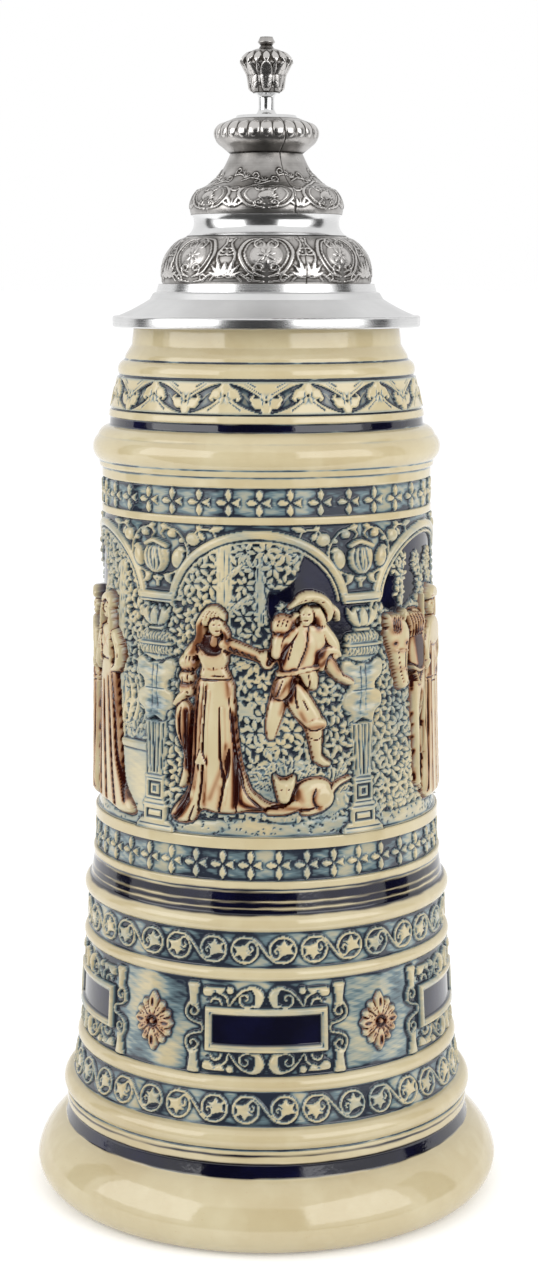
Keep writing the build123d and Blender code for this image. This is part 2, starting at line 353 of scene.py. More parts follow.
def leaf(root, tip, half_width):
    """A pointed leaf from root to tip, widest at its middle."""
    (au, av), (bu, bv) = root, tip
    length = max(math.hypot(bu - au, bv - av), 1e-6)
    cos, sin = (bu - au) / length, (bv - av) / length

    def distance(u, v):
        along = ((u - au) * cos + (v - av) * sin) / length
        across = np.abs((v - av) * cos - (u - au) * sin)
        width = half_width * np.sin(math.pi * np.clip(along, 0.0, 1.0)) ** 0.8
        beyond = np.maximum(-along, along - 1.0) * length
        return np.maximum(across - width, beyond)

    return Shape(distance, min(au, bu) - half_width, max(au, bu) + half_width, min(av, bv) - half_width,
                 max(av, bv) + half_width)


def spiral(centre, radius, turns, start, width, clockwise=False):
    """A scroll that winds in to its centre from an outer point at the start angle."""
    way = -1.0 if clockwise else 1.0
    tail = 0.25                             # what is left of the radius at the centre
    points = []
    for step in range(int(turns * 10) + 1):
        done = step / (turns * 10.0)
        angle = math.radians(start) + way * TURN * turns * done
        reach = radius * (1.0 - (1.0 - tail) * done)
        points.append((centre[0] + reach * math.cos(angle), centre[1] + reach * math.sin(angle),
                       width * (1.0 - 0.35 * done)))
    return stroke(points, per_span=3)


class Relief:
    """A piece of wall laid flat, in mm: one u for each column and one v for each row.  It
    holds the height that stands on the wall, how far a figure covers it, the cobalt on it,
    and any extra tint, which is blue wash elsewhere and on a figure brown wash with painted shade."""

    KINDS = ("height", "brown", "cobalt", "tint")

    def __init__(self, us, vs, arrays=None):
        self.us, self.vs = us, vs
        shape = (len(vs), len(us))
        arrays = arrays or {kind: np.zeros(shape) for kind in self.KINDS}
        for kind in self.KINDS:
            setattr(self, kind, arrays[kind])

    def moved(self, u=0.0, v=0.0, mirror=1.0, scale=1.0, flip=1.0):
        """The same arrays, drawn on in shifted, mirrored or scaled coordinates."""
        arrays = {kind: getattr(self, kind) for kind in self.KINDS}
        return Relief((self.us - u) * mirror / scale, (self.vs - v) * flip / scale, arrays)

    def layer(self):
        """An empty sheet over the same wall."""
        return Relief(self.us, self.vs)

    def window(self, shape, margin=0.6):
        low_u, high_u, low_v, high_v = shape.box
        columns = np.nonzero((self.us >= low_u - margin) & (self.us <= high_u + margin))[0]
        rows = np.nonzero((self.vs >= low_v - margin) & (self.vs <= high_v + margin))[0]
        if not len(columns) or not len(rows):
            return None
        part = np.ix_(rows, columns)
        return part, shape.distance(self.us[columns][None, :], self.vs[rows][:, None])

    def put(self, shape, top, edge, base=0.0):
        """Raises the shape to top, with an edge that rounds up from base over a width."""
        found = self.window(shape)
        if found is None:
            return
        part, distance = found
        rise = np.clip(-distance / edge, 0.0, 1.0)
        new = base + (top - base) * np.sqrt(1.0 - (1.0 - rise) ** 2)
        higher = (distance < 0.0) & (new > self.height[part])
        self.height[part] = np.where(higher, new, self.height[part])
        for kind in ("cobalt", "tint"):
            mask = getattr(self, kind)
            mask[part] = np.where(higher, 0.0, mask[part])

    def add(self, shape, amount, edge):
        """Adds a soft ridge, or with a negative amount a groove, on what is there."""
        found = self.window(shape)
        if found is None:
            return
        part, distance = found
        rise = np.clip(-distance / edge, 0.0, 1.0)
        self.height[part] += amount * rise * rise * (3.0 - 2.0 * rise)

    def level(self, shape, height, cobalt=None, blend=0.5):
        """Sets the shape's floor to a height, whatever was there."""
        found = self.window(shape)
        if found is None:
            return
        part, distance = found
        share = np.clip(0.5 - distance / blend, 0.0, 1.0)
        self.height[part] = self.height[part] * (1.0 - share) + height * share
        if cobalt is not None:
            self.cobalt[part] = np.maximum(self.cobalt[part], cobalt * share)

    def paint(self, shape, kind, amount=1.0, soft=0.5):
        """Paints cobalt or tint over the shape, with a soft edge."""
        found = self.window(shape, soft)
        if found is None:
            return
        part, distance = found
        mask = getattr(self, kind)
        share = np.clip(0.5 - distance / soft, 0.0, 1.0) * amount
        mask[part] = np.maximum(mask[part], share)

    def lay_on(self, sheet, brown=1.0):
        """Lays a drawn sheet, such as a figure, on the wall."""
        over = sheet.height > 0.3
        moat = (blurred(over.astype(float), 1, 1) > 0.05) & ~over
        self.height[moat] = np.minimum(self.height[moat], 0.7)
        self.height[over] = np.maximum(sheet.height[over], 0.35 * self.height[over])
        self.tint[over] = sheet.tint[over]
        self.cobalt[over] = 0.0
        self.brown[over] = brown


# ---- the turned wall ---------------------------------------------------------------------
COLUMNS = 960                   # round the jug; a multiple of 5, for the five bays
BAYS = 5
SCENE_TURN = -3.0               # the front picture's middle, in degrees from the front
SCENE_COLUMNS = int(round(SCENE_TURN / 360.0 * COLUMNS))        # the same, in columns
ROW_STEP = 0.45                 # up the decorated wall
PLAIN_STEP = 1.1                # on the plain foot

TREES = {}


def node_tree(name):
    """A ray-casting tree of a CAD node, made once."""
    if name not in TREES:
        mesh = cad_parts[name].data
        TREES[name] = BVHTree.FromPolygons([v.co for v in mesh.vertices],
                [p.vertices for p in mesh.polygons])
    return TREES[name]


def wall_radius(node, heights, from_outside=True):
    """The radius of a turned CAD node's outer or inner wall at each height, in mm."""
    tree = node_tree(node)
    aside = 0.003
    found = []
    for z in heights:
        start = Vector((0.4, 0.0, z * MM)) if from_outside else Vector((0.0, 0.0, z * MM))
        way = Vector((-1.0, aside, 0.0)) if from_outside else Vector((1.0, aside, 0.0))
        hit = tree.ray_cast(start, way.normalized())[0]
        found.append(math.hypot(hit.x, hit.y) / MM if hit else np.nan)
    return np.array(found)


def even_rows(radii, heights, step):
    """Points spaced about a step apart along an outline, as (radius, height) columns."""
    walked = np.concatenate([[0.0], np.cumsum(np.hypot(np.diff(radii), np.diff(heights)))])
    places = np.linspace(0.0, walked[-1], max(2, int(round(walked[-1] / step)) + 1))
    return np.interp(places, walked, radii), np.interp(places, walked, heights)


def blurred(values, radius_rows, radius_columns):
    """A soft average over the wall, wrapping round it: three box blurs each way."""
    out = values
    for _ in range(3):
        r = max(1, int(round(radius_columns)))
        padded = np.concatenate([out[:, -r:], out, out[:, :r]], axis=1)
        summed = np.cumsum(np.concatenate([np.zeros((len(out), 1)), padded], axis=1), axis=1)
        out = (summed[:, 2 * r + 1:] - summed[:, :-2 * r - 1]) / (2 * r + 1)
        r = max(1, int(round(radius_rows)))
        padded = np.concatenate([np.repeat(out[:1], r, 0), out, np.repeat(out[-1:], r, 0)], axis=0)
        summed = np.cumsum(np.concatenate([np.zeros((1, out.shape[1])), padded], axis=0), axis=0)
        out = (summed[2 * r + 1:] - summed[:-2 * r - 1]) / (2 * r + 1)
    return out


# Heights of the jug's mouldings, in mm above the table.
FOOT_COBALT = (28.4, 34.3)
FOOT_LINE = (36.9, 37.7)
LOWER_SCROLLS = (47.8, 60.6)
CARTOUCHES = (66.4, 103.4)
UPPER_SCROLLS = (108.4, 122.2)
STEPPED_COBALT = ((128.7, 130.9), (131.4, 133.5), (133.9, 137.4), (137.9, 138.7))
LOWER_CROSSES = (141.4, 153.6)
ARCADE = (158.2, 276.4)
UPPER_CROSSES = (279.4, 290.0)
SHOULDER_COBALT = (310.5, 313.7)
VINE = (317.0, 329.4)


class Wall:
    """A turned outer wall: its rows, and the relief and colours that are drawn on it.
    The spans are (from, to, step) up the wall, in mm."""

    def __init__(self, node, spans, columns):
        self.columns = columns
        self.angles = -math.pi + (np.arange(columns) + 0.5) * TURN / columns
        parts = []
        for low, high, step in spans:
            heights = np.linspace(low, high, int((high - low) / 0.1) + 2)
            parts.append(np.stack(even_rows(wall_radius(node, heights), heights, step)))
        rows = np.concatenate([part[:, :-1] for part in parts[:-1]] + [parts[-1]], axis=1)
        self.radius, self.z = rows
        walked = np.hypot(np.diff(self.radius), np.diff(self.z))
        self.arc = np.concatenate([[0.0], np.cumsum(walked)])
        shape = (len(self.z), columns)
        for kind in Relief.KINDS + ("wash",):
            setattr(self, kind, np.zeros(shape))

    def rows(self, span):
        return np.nonzero((self.z >= span[0]) & (self.z <= span[1]))[0]

    def middle_radius(self, span):
        return float(self.radius[self.rows(span)].mean())

    def repeat(self, span, count, draw, offset=0.0, along_wall=False):
        """Draws one cell and copies it round the wall by its position in the cell.  Its v is
        the height from the span's middle, or the distance along the wall from there."""
        rows = self.rows(span)
        radius = self.middle_radius(span)
        pitch = TURN * radius / count
        fine = 48 * 4
        us = (np.arange(fine) + 0.5) / fine * pitch - pitch / 2
        vs = self.arc[rows] - self.arc[rows].mean() if along_wall else self.z[rows] - sum(span) / 2
        cell = Relief(us, vs)
        draw(cell, pitch)
        place = (self.angles - math.radians(offset)) * count / TURN + 0.5
        place = (place - np.floor(place)) * fine - 0.5
        low = np.floor(place).astype(int)
        share = place - low
        for kind in Relief.KINDS:
            drawn = getattr(cell, kind)
            getattr(self, kind)[rows] = drawn[:, low % fine] * (1 - share) + drawn[:,
                    (low + 1) % fine] * share

    def bay(self, span, index):
        """The relief sheet of one bay: u from its middle, v as height above the table."""
        rows = self.rows(span)
        width = COLUMNS // BAYS
        first = (COLUMNS - width) // 2 + index * width
        columns = (first + np.arange(width) + SCENE_COLUMNS) % COLUMNS
        radius = self.middle_radius(span)
        us = (np.arange(width) + 0.5 - width / 2) * TURN * radius / COLUMNS
        return rows, columns, Relief(us, self.z[rows])

    def keep(self, rows, columns, sheet):
        for kind in Relief.KINDS:
            getattr(self, kind)[np.ix_(rows, columns)] = getattr(sheet, kind)


# ---- repeated bands ----------------------------------------------------------------------
def fleur(cell, up=1):
    """A three-lobed flower head with a bead hole at its heart."""
    cell = cell.moved(flip=up)
    high = 1.3
    cell.put(leaf((0, -1.4), (0, 5.6), 2.1), high, 1.1, 0.4)
    for side in (-1, 1):
        cell.put(oval((side * 3, 0.5), 2.5, 2.1, side * -14), high, 1.1, 0.4)
        cell.put(stroke([(side * 4.4, -0.2, 1.1), (side * 5.4, -1.2, 0.8), (side * 4.6, -2.3, 0.4)]), high,
                 0.6, 0.4)
        cell.put(leaf((side * 0.4, 0), (side * 1.6, -3.6), 0.7), high, 0.6, 0.4)
        cell.add(stroke([(side * 1.1, 1.6, 0.22), (side * 1.6, -0.8, 0.22)]), -0.4, 0.24)
    cell.add(oval((0, -0.2), 0.72, 0.72), -1.2, 0.4)


VINE_HOLLOW = ((-5.8, 5.5), (-1.6, 4.5), (3.8, 1.3), (5.2, -0.6), (2, -0.8), (3, -2.6), (6.4, -4.2),
               (6, -6), (2.2, -5), (-2.6, -2.4), (-4.6, 0.2), (-2, 1), (-3.2, 3))


def vine_cell(cell, pitch):
    """Wing-shaped hollows between flower heads that point up and down by turns."""
    cell.height += 0.9
    half = pitch / 2
    for side in (-1, 1):
        def across(u, v):
            return (side * half * (0.5 - u / 14.5), v)
        cell.level(outline([across(u, v * 0.94) for u, v in VINE_HOLLOW]), 0, blend=0.35)
        cell.put(stroke([(*across(-3.4, 3.4), 0.12), (*across(0.4, 0.2), 0.30),
                         (*across(3.6, -3.8), 0.12)]), 0.22, 0.5, 0.1)
        for start, end in (((-0.8, 5.4), (7, 0.4)), ((-6.8, -0.4), (-1.6, -4.4)), ((0.4, 5.9), (3.6, 4))):
            cell.add(stroke([(*across(*start), 0.16), (*across(*end), 0.34)]), -0.65, 0.3)
    fleur(cell.moved(0, -1.4), up=-1)
    for side in (-1, 1):
        fleur(cell.moved(side * half, 1.2))


def cross_cell(cell, pitch):
    """Four drop-shaped petals round an empty middle; the right-hand one is forked."""
    tall = 1 if cell.vs.max() > 5.6 else 0.90
    for flip in (-1, 1):
        petal = cell.moved(flip=flip)
        petal.put(leaf((0, 0.5 * tall), (0, 5.7 * tall), 1.15), 1.25, 1, 0.25)
        petal.put(oval((0, 3.4 * tall), 1.30, 1.6 * tall), 1.25, 1, 0.25)
    cell.put(leaf((-0.5, 0), (-4.9, 0), 1.1), 1.25, 1, 0.25)
    cell.put(oval((-3, 0), 1.5, 1.2), 1.25, 1, 0.25)
    fork = [(0.8, 0), (2.4, 0.9), (4.6, 1.9), (3.9, 0), (4.6, -1.9), (2.4, -0.9)]
    cell.put(outline(fork, smooth=False), 1.15, 0.8, 0.2)


def scroll_pair(cell, pitch):
    """Two ringed scrolls joined by a line that runs over one and under the other; each ring
    curls in to an ivy leaf."""
    reach = pitch * 0.272
    tall = (cell.vs.max() - cell.vs.min()) / 2
    ring = min(4.95, tall - 0.9)
    line = 0.50
    ivy = [(0.44, 0.66), (0.04, 0.42), (-0.34, 0.30), (-0.78, 0.26), (-0.58, -0.08), (-0.74, -0.48),
           (-0.32, -0.38), (-0.08, -0.74), (0.16, -0.42), (0.50, -0.36), (0.24, -0.10), (0.20, 0.22)]
    for side in (-1, 1):
        half = cell.moved(side * reach, 0, mirror=-side, flip=-side)
        circle = [(ring * math.cos(a), ring * math.sin(a)) for a in np.linspace(TURN / 4, TURN * 1.02, 20)]
        half.put(stroke(circle, line, 2), 1.1, 0.5, 0.15)
        leafy = half.moved(scale=ring)
        leafy.put(stroke([(1, 0.10, 0.10), (0.84, 0.50, 0.10), (0.50, 0.70, 0.10), (0.22, 0.48, 0.10),
                          (0.20, 0.12, 0.10), (0.42, -0.12, 0.09), (0.62, 0.06, 0.08), (0.50, 0.24, 0.07)]),
                  1, 0.09, 0.15)
        leafy.put(outline([(1.10 * u - 0.02, 1.12 * v) for u, v in ivy]), 1.2, 0.16, 0.2)
    joined = [(-reach - ring * 0.1, ring, line), (-reach + ring * 0.55, ring * 0.92, line),
              (-reach + ring * 0.98, ring * 0.62, line), (0, 0, line),
              (reach - ring * 0.98, -ring * 0.62, line), (reach - ring * 0.55, -ring * 0.92, line),
              (reach + ring * 0.1, -ring, line)]
    cell.put(stroke(joined), 1.1, 0.5, 0.15)


def draw_bands(wall):
    wall.repeat(VINE, 12, vine_cell)
    wall.repeat(UPPER_CROSSES, 35, cross_cell, -2.3)
    wall.repeat(LOWER_CROSSES, 40, cross_cell, -5)
    wall.repeat(UPPER_SCROLLS, 17, scroll_pair, -0.75)
    wall.repeat(LOWER_SCROLLS, 18, scroll_pair, -0.3)


# ---- cartouche band ----------------------------------------------------------------------
def rosette(sheet, at):
    """A diamond-shaped flower of twelve cupped petals, with brown wash and painted shade in its hollows."""
    flower = sheet.layer().moved(*at)
    for k in range(12):
        angle = TURN * k / 12 + math.pi / 2
        large = k % 3 == 0
        upright = abs(math.sin(angle))
        long = (9 + 2.9 * upright) if large else (7.9 + 1.6 * upright)
        cos, sin = math.cos(angle), math.sin(angle)
        flower.put(leaf((1.6 * cos, 1.6 * sin), (long * cos, long * sin), 2.1 if large else 1.35), 1.8, 1,
                   0.4)
        knob = 0.72 if large else 0.84
        flower.put(oval((long * knob * cos, long * knob * sin), *((1.9, 1.9) if large else (1.32, 1.32))),
                   1.8, 0.9, 0.4)
        hollow = leaf((long * 0.40 * cos, long * 0.40 * sin), (long * 0.88 * cos, long * 0.88 * sin),
                      0.70 if large else 0.46)
        flower.add(hollow, -0.5, 0.5)
        # Brown wash and painted shade in the petal's hollow, fuller on all but the upper petals.
        flower.paint(hollow, "tint", 1 if sin < 0.3 else 0.5, 0.4)
    flower.put(oval((0, 0), 3.2, 3.2), 1.9, 1, 0.7)
    flower.add(oval((0, 0), 2.5, 2.5), -1.2, 0.6)
    # Brown wash and painted shade in the hollow round the heart.
    flower.paint(oval((0, 0), 2.8, 2.8), "tint", 1, 0.6)
    flower.put(oval((0, 0), 1.1, 1.1), 2.4, 0.8, 0.9)
    sheet.lay_on(flower, brown=0.8)


def rolled_end(sheet, flip):
    """One upright rolled strip beside the panel; its edge swells out and then curls in to
    the panel's side."""
    end = sheet.moved(flip=flip)
    strip = [(-2.5, 17.2), (-1.9, 14.6), (-1.5, 11.4), (-1.8, 8.6), (1.9, 8.6), (1.6, 11.4), (2, 14.6),
             (2.5, 17.2), (1.2, 17.7), (-1.2, 17.7)]
    end.put(outline(strip, smooth=False), 2, 1.5, 0.3)
    end.put(stroke([(1.6, 9.6, 0.5), (2.8, 6.8, 0.55), (2.4, 3.9, 0.5), (-0.4, 2.3, 0.45), (-3.2, 1.6, 0.4),
                    (-4, 0, 0.4)]), 1.7, 0.5, 0.3)
    end.put(stroke([(0.8, 8.8, 0.45), (-1.3, 7.9, 0.45), (-1.7, 6, 0.45), (-0.4, 4.8, 0.42),
                    (1.1, 5.6, 0.4), (0.7, 7, 0.36)]), 1.6, 0.45, 0.3)


def panel_scrolls(sheet, flip):
    """The foliage along one long edge of the panel: broad volutes, beads and rolled leaves."""
    edge = sheet.moved(flip=flip)
    for side in (-1, 1):
        half = edge.moved(0, 0, mirror=side)
        volute = [(0.7, 12.6), (1.5, 15.2), (3.4, 16.8), (6.8, 16.8), (5.2, 15.2), (4.3, 12.8), (4.6, 10.2),
                  (5.6, 9), (2.6, 9)]
        half.put(outline(volute), 2, 1.6, 0.3)
        half.put(stroke([(5, 16.5, 0.5), (8.8, 15.4, 0.5), (11.6, 12.8, 0.45), (14, 9.4, 0.35)]), 1.6, 0.45,
                 0.3)
        half.put(stroke([(4.8, 9.6, 0.4), (7.4, 8.9, 0.42), (9.8, 10.2, 0.42), (10, 12.8, 0.4),
                         (8.2, 13.8, 0.4), (6.9, 12.5, 0.38), (7.7, 11.3, 0.34)]), 1.5, 0.4, 0.3)
        half.put(oval((13.8, 15.3), 1.5, 1.5), 2, 1.4, 0.4)
        rolled = [(16.4, 16.2), (24, 15.9), (24.2, 13), (21.6, 12.7), (19.8, 14.2), (17.6, 13.4),
                  (16.4, 14.6)]
        half.put(outline(rolled), 1.9, 1.3, 0.3)
        half.put(stroke([(14.6, 9.6, 0.4), (15.2, 12.2, 0.5), (17, 13.8, 0.5)]), 1.4, 0.45, 0.3)
        half.put(stroke([(17.2, 9.6, 0.4), (18.2, 11.6, 0.5), (20.4, 11.8, 0.5), (21.4, 10.2, 0.4)]), 1.3,
                 0.45, 0.3)
        half.add(oval((19.6, 15), 0.9, 0.7), -0.8, 0.5)
        half.add(oval((22.8, 11), 0.9, 0.8), -0.5, 0.5)


def draw_cartouches(wall):
    for index in range(BAYS):
        rows, columns, sheet = wall.bay(CARTOUCHES, index)
        turned = math.radians(-SCENE_TURN) * wall.middle_radius(CARTOUCHES)
        middle = sheet.moved(turned, 84.3)
        panel = (23.6, 8.6)
        middle.put(block((0, 0), *panel, 0.4), 2.2, 0.9, 0.6)
        middle.add(block((0, 0), panel[0] - 1.7, panel[1] - 1.5, 0.2), -0.7, 0.35)
        middle.add(block((0, 0), panel[0] - 2.1, panel[1] - 1.9, 0.2), 0.6, 0.35)
        middle.level(block((0, 0), panel[0] - 2.7, panel[1] - 2.6, 0.3), 0.7, cobalt=1, blend=0.45)
        for flip in (-1, 1):
            panel_scrolls(middle, flip)
            rolled_end(middle.moved(-28.4, 0, mirror=-1), flip)
            rolled_end(middle.moved(28.4, 0), flip)
        wall.keep(rows, columns, sheet)
    for index in range(BAYS):
        rows, columns, _ = wall.bay(CARTOUCHES, index)
        radius = wall.middle_radius(CARTOUCHES)
        shifted = (columns + int(round(COLUMNS / BAYS / 2 - SCENE_TURN / 360 * COLUMNS))) % COLUMNS
        us = (np.arange(len(columns)) + 0.5 - len(columns) / 2) * TURN * radius / COLUMNS
        part = np.ix_(rows, shifted)
        sheet = Relief(us, wall.z[rows], {kind: getattr(wall, kind)[part] for kind in Relief.KINDS})
        rosette(sheet, (0, 84))
        wall.keep(rows, shifted, sheet)


# ---- arcade ------------------------------------------------------------------------------
HALF_BAY = math.pi * 66 / BAYS        # from a picture's middle to a column's middle
ARCH_CROWN = 272                      # the arch's centre line at its highest
ARCH_DROP = 24                        # and how far it comes down to the column
ARCH_HALF = HALF_BAY - 8.4
GROUND_Z = 158


def arch_line(offset=0):
    """The arch's curve, nearly half an ellipse, moved outwards by an offset."""
    last = math.radians(84)
    points = []
    for step in range(-14, 15):
        angle = last * step / 14
        u = ARCH_HALF * math.sin(angle) / math.sin(last)
        v = ARCH_CROWN - ARCH_DROP * (1 - math.cos(angle)) / (1 - math.cos(last))
        slope = math.sin(angle) * ARCH_DROP / (1 - math.cos(last))
        ahead = math.cos(angle) * ARCH_HALF / math.sin(last)
        size = math.hypot(slope, ahead)
        points.append((u + slope * offset / size, v + ahead * offset / size))
    return points


def scene_area():
    """Everything inside the arch and between the columns."""
    curve = arch_line(-1)
    return outline([(-HALF_BAY, GROUND_Z)] + [(-HALF_BAY, curve[0][1])] + curve + [(HALF_BAY, curve[-1][1]),
            (HALF_BAY, GROUND_Z)], smooth=False)


def half_column(sheet):
    """A column in half-round relief, from its plinth to the bar that the arches spring from."""
    c = sheet
    c.put(block((0, 157.4), 9.4, 2.6, 0.3), 2.7, 0.8, 1.6)
    c.put(outline(both_sides([(-9.4, 159.8), (-7.2, 162)]), smooth=False), 2.5, 0.8, 1.4)
    c.put(block((0, 164.2), 5.8, 3.2, 0.2), 2.5, 0.8, 1.4)
    c.add(block((0, 164.4), 4.4, 1.9, 0.1), -0.9, 0.35)
    c.add(block((0, 164.4), 3.6, 1.2, 0.1), 0.7, 0.3)
    for v, half in ((167.6, 6.6), (169, 5.6)):
        c.put(block((0, v), half, 0.62, 0.5), 2.7, 0.6, 1.4)
    c.put(block((0, 174), 4.7, 4.2, 0.2), 2.4, 0.7, 1.4)
    c.add(block((0, 174), 3.5, 3.1, 0.1), -1, 0.35)
    c.add(block((0, 174), 2.5, 2.2, 0.1), 0.9, 0.3)
    c.add(block((0, 174), 1.5, 1.3, 0.1), -0.5, 0.3)
    c.put(block((0, 178.8), 5.2, 0.62, 0.5), 2.6, 0.6, 1.4)
    c.put(outline(both_sides([(-4, 179.4), (-5.6, 200.6)]), smooth=False), 2.5, 1.2, 1)
    for k in (-2.5, -1.5, -0.5, 0.5, 1.5, 2.5):
        c.add(bar((k * 1.34, 180.6), (k * 1.86, 199.6), 0.34, 0.46), -1.7, 0.55)
    panel = both_sides([(-4.4, 200.6), (-6.2, 204.4), (-8.8, 206.4), (-9.4, 209.6), (-8.4, 212.2),
                        (-6.2, 213.4), (-6.4, 216), (-8.8, 217.8), (-9.9, 220.8), (-9.2, 224.4),
                        (-6, 224.8), (-3.4, 223)], (223.6, 202.2))
    c.put(outline(panel), 2.5, 1.1, 0.6)
    c.add(oval((0, 221), 8, 3), -0.5, 2.4)
    c.add(oval((0, 208), 7.4, 3.4), -0.5, 2.4)
    for k in (-1.7, 0, 1.7):
        c.add(bar((k, 203.4), (k * 0.9, 222.6), 0.34), -0.9, 0.6)
    for v in (213.2, 216):
        c.add(bar((-5.6, v), (5.6, v), 0.30), -0.8, 0.5)
    c.paint(outline(both_sides([(-3.6, 201), (-3.4, 214), (-3.6, 223.4)])), "tint", 0.34, 1.8)
    c.paint(oval((4.6, 207), 3.6, 3.2), "tint", 0.26, 2)
    c.paint(oval((-4.6, 220.6), 3.6, 3), "tint", 0.22, 2)
    c.put(outline([(-8.6, 226.6), (-4, 224.4), (0, 223.6), (4, 224.4), (8.6, 226.6), (5, 228.4),
                   (-5, 228.4)]), 1.5, 0.7, 0.6)
    c.put(block((0, 228.4), 8, 2.3, 2.2), 3.3, 2.4, 1)
    c.put(block((0, 232.8), 8, 2.2, 2.1), 3.3, 2.4, 1)
    for k in range(-6, 7):
        lean = k * 1.18
        c.add(bar((lean, 232), (lean * 0.90, 234.6), 0.30), -1.3, 0.36)
        c.add(bar((lean, 229.2), (lean * 0.90, 226.6), 0.30), -1.3, 0.36)
    c.put(block((0, 230.6), 8.8, 0.5, 0.4), 3.8, 0.4, 2.6)
    c.put(block((0, 236.2), 3.8, 0.7, 0.6), 2.3, 0.6, 1)
    c.put(outline(both_sides([(-2.6, 237), (-4.8, 239), (-5.4, 242.4), (-4, 244.4)])), 1.7, 1.2, 0.8)
    for side in (-1, 1):
        petal = [(side * 1.6, 237.2), (side * 4.6, 238.2), (side * 6.8, 241.2), (side * 7, 244.8),
                 (side * 5.4, 243.6), (side * 3.8, 244.6), (side * 2.6, 241.2)]
        c.put(outline(petal), 3, 1.2, 1)
    c.put(outline([(0, 245), (-2, 243), (-2.7, 240.4), (-1.8, 237.6), (1.8, 237.6), (2.7, 240.4),
                   (2, 243)]), 3.4, 1.6, 1.2)
    c.put(outline(both_sides([(-8.4, 246), (-9.6, 250.2)]), smooth=False), 2.5, 0.9, 0.8)
    c.add(bar((-8.2, 247.4), (8.2, 247.4), 0.32), -0.9, 0.36)


def spandrel(sheet):
    """A fluted vase with fruit and tendrils, between two arches."""
    s = sheet
    s.put(outline(both_sides([(-1.4, 251.8), (-0.9, 257.6)]), smooth=False), 1, 0.6, 0.2)
    s.put(outline([(-3, 255.6), (0, 253.4), (3.2, 255.8), (1, 256.4), (-1.2, 256.4)]), 1.4, 0.8, 0.3)
    s.add(oval((0.4, 254.8), 0.6, 0.5), -0.7, 0.35)
    vase = [(-1.2, 257), (-3.6, 258.2), (-5.6, 261), (-6, 264.4), (-4.6, 267.6), (0, 269), (4.6, 267.4),
            (6, 264.4), (5.6, 261), (3.6, 258.2), (1.2, 257)]
    s.put(outline(vase), 2.4, 3.4, 0.3)
    for k in range(-2, 3):
        s.put(stroke([(k * 0.6, 257.6, 0.4), (k * 2 - 0.5, 260.6, 0.95), (k * 2 - 1.2, 264.4, 0.95),
                      (k * 1.6 - 1, 266.8, 0.6)]), 3.2 - 0.2 * abs(k), 0.9, 1.6)
    s.put(stroke([(-5.4, 268.2, 0.9), (-1, 269.6, 1), (5, 267.8, 0.9)]), 3, 0.9, 1.4)
    for side in (-1, 1):
        h = s.moved(mirror=side)
        h.put(oval((10, 263.2), 2.7, 4, -10), 2.4, 2, 0.4)
        h.put(oval((16.4, 270.8), 3, 2.6), 2.2, 1.8, 0.4)
        h.put(oval((7, 272.4), 2, 1.7), 1.9, 1.4, 0.4)
        h.put(oval((5.6, 256.4), 1.2, 1.2), 1.5, 0.9, 0.4)
        h.put(oval((9.6, 256.8), 0.9, 0.9), 1.4, 0.8, 0.4)
        h.put(oval((11.4, 270), 1.1, 1.1), 1.5, 0.8, 0.4)
        h.put(stroke([(3.6, 256.6, 0.4), (8.6, 258, 0.42), (13.4, 262, 0.5), (14, 267.4, 0.5),
                      (10, 273, 0.45), (4.6, 274.4, 0.42), (2, 272.4, 0.4), (3.4, 270.8, 0.35)]), 1.4, 0.45,
              0.2)
        h.put(stroke([(13.6, 268, 0.45), (18.6, 274, 0.5), (24, 274, 0.45), (25.4, 271.8, 0.35)]), 1.3,
              0.45, 0.2)
        for root, tip in (((3.6, 256.8), (7.2, 253.4)), ((8.4, 258.6), (12, 256.4)),
                          ((13.6, 266), (9.6, 267.2)), ((18.6, 273.6), (21, 270.2)),
                          ((13, 261.2), (16.4, 263.4)), ((23, 274.2), (28.6, 275.4)),
                          ((5.4, 274.2), (1.6, 275.6)), ((20.2, 274.2), (17.6, 275.6))):
            h.put(leaf(root, tip, 1.25), 1.5, 0.9, 0.2)


def draw_arcade_frame(sheet):
    """The arch of one bay, half a column at each side, and half of each spandrel."""
    for offset, half, top in ((0.9, 1.75, 1.9), (-1.9, 0.62, 1.3)):
        curve = [(*point, half) for point in arch_line(offset)]
        sheet.put(stroke(curve, per_span=2), top, half, 0.4)
    for side in (-1, 1):
        spandrel(sheet.moved(side * HALF_BAY, 0))
        half_column(sheet.moved(side * HALF_BAY, 0))


# ---- plants and ground -------------------------------------------------------------------
def sprig(sheet, rng, at, size=1):
    """A star of pointed leaflets, each with a midrib."""
    turn = rng.uniform(0, TURN)
    count = rng.integers(6, 8)
    for k in range(count):
        angle = turn + k * TURN / count + rng.uniform(-0.12, 0.12)
        long = size * rng.uniform(3.2, 4.5)
        cos, sin = math.cos(angle), math.sin(angle)
        root = (at[0] + 0.5 * cos, at[1] + 0.5 * sin)
        tip = (at[0] + long * cos, at[1] + long * sin)
        top = rng.uniform(1, 1.9)
        sheet.put(leaf(root, tip, 0.95 * size), top, 0.8, 0.25)
        rib = bar((at[0] + 0.28 * long * cos, at[1] + 0.28 * long * sin),
                  (at[0] + 0.8 * long * cos, at[1] + 0.8 * long * sin), 0.22)
        sheet.add(rib, -0.22, 0.26)


def foliage(sheet, rng, area):
    """Sprigs all over an area, set out in uneven rows."""
    spacing = 7
    (low_u, high_u), (low_v, high_v) = area
    v, odd = low_v, False
    while v < high_v:
        u = low_u + (spacing / 2 if odd else 0)
        while u < high_u:
            at = (u + rng.uniform(-0.8, 0.8), v + rng.uniform(-0.8, 0.8))
            sprig(sheet, rng, at, rng.uniform(0.98, 1.24))
            u += spacing
        v, odd = v + spacing * 0.88, not odd


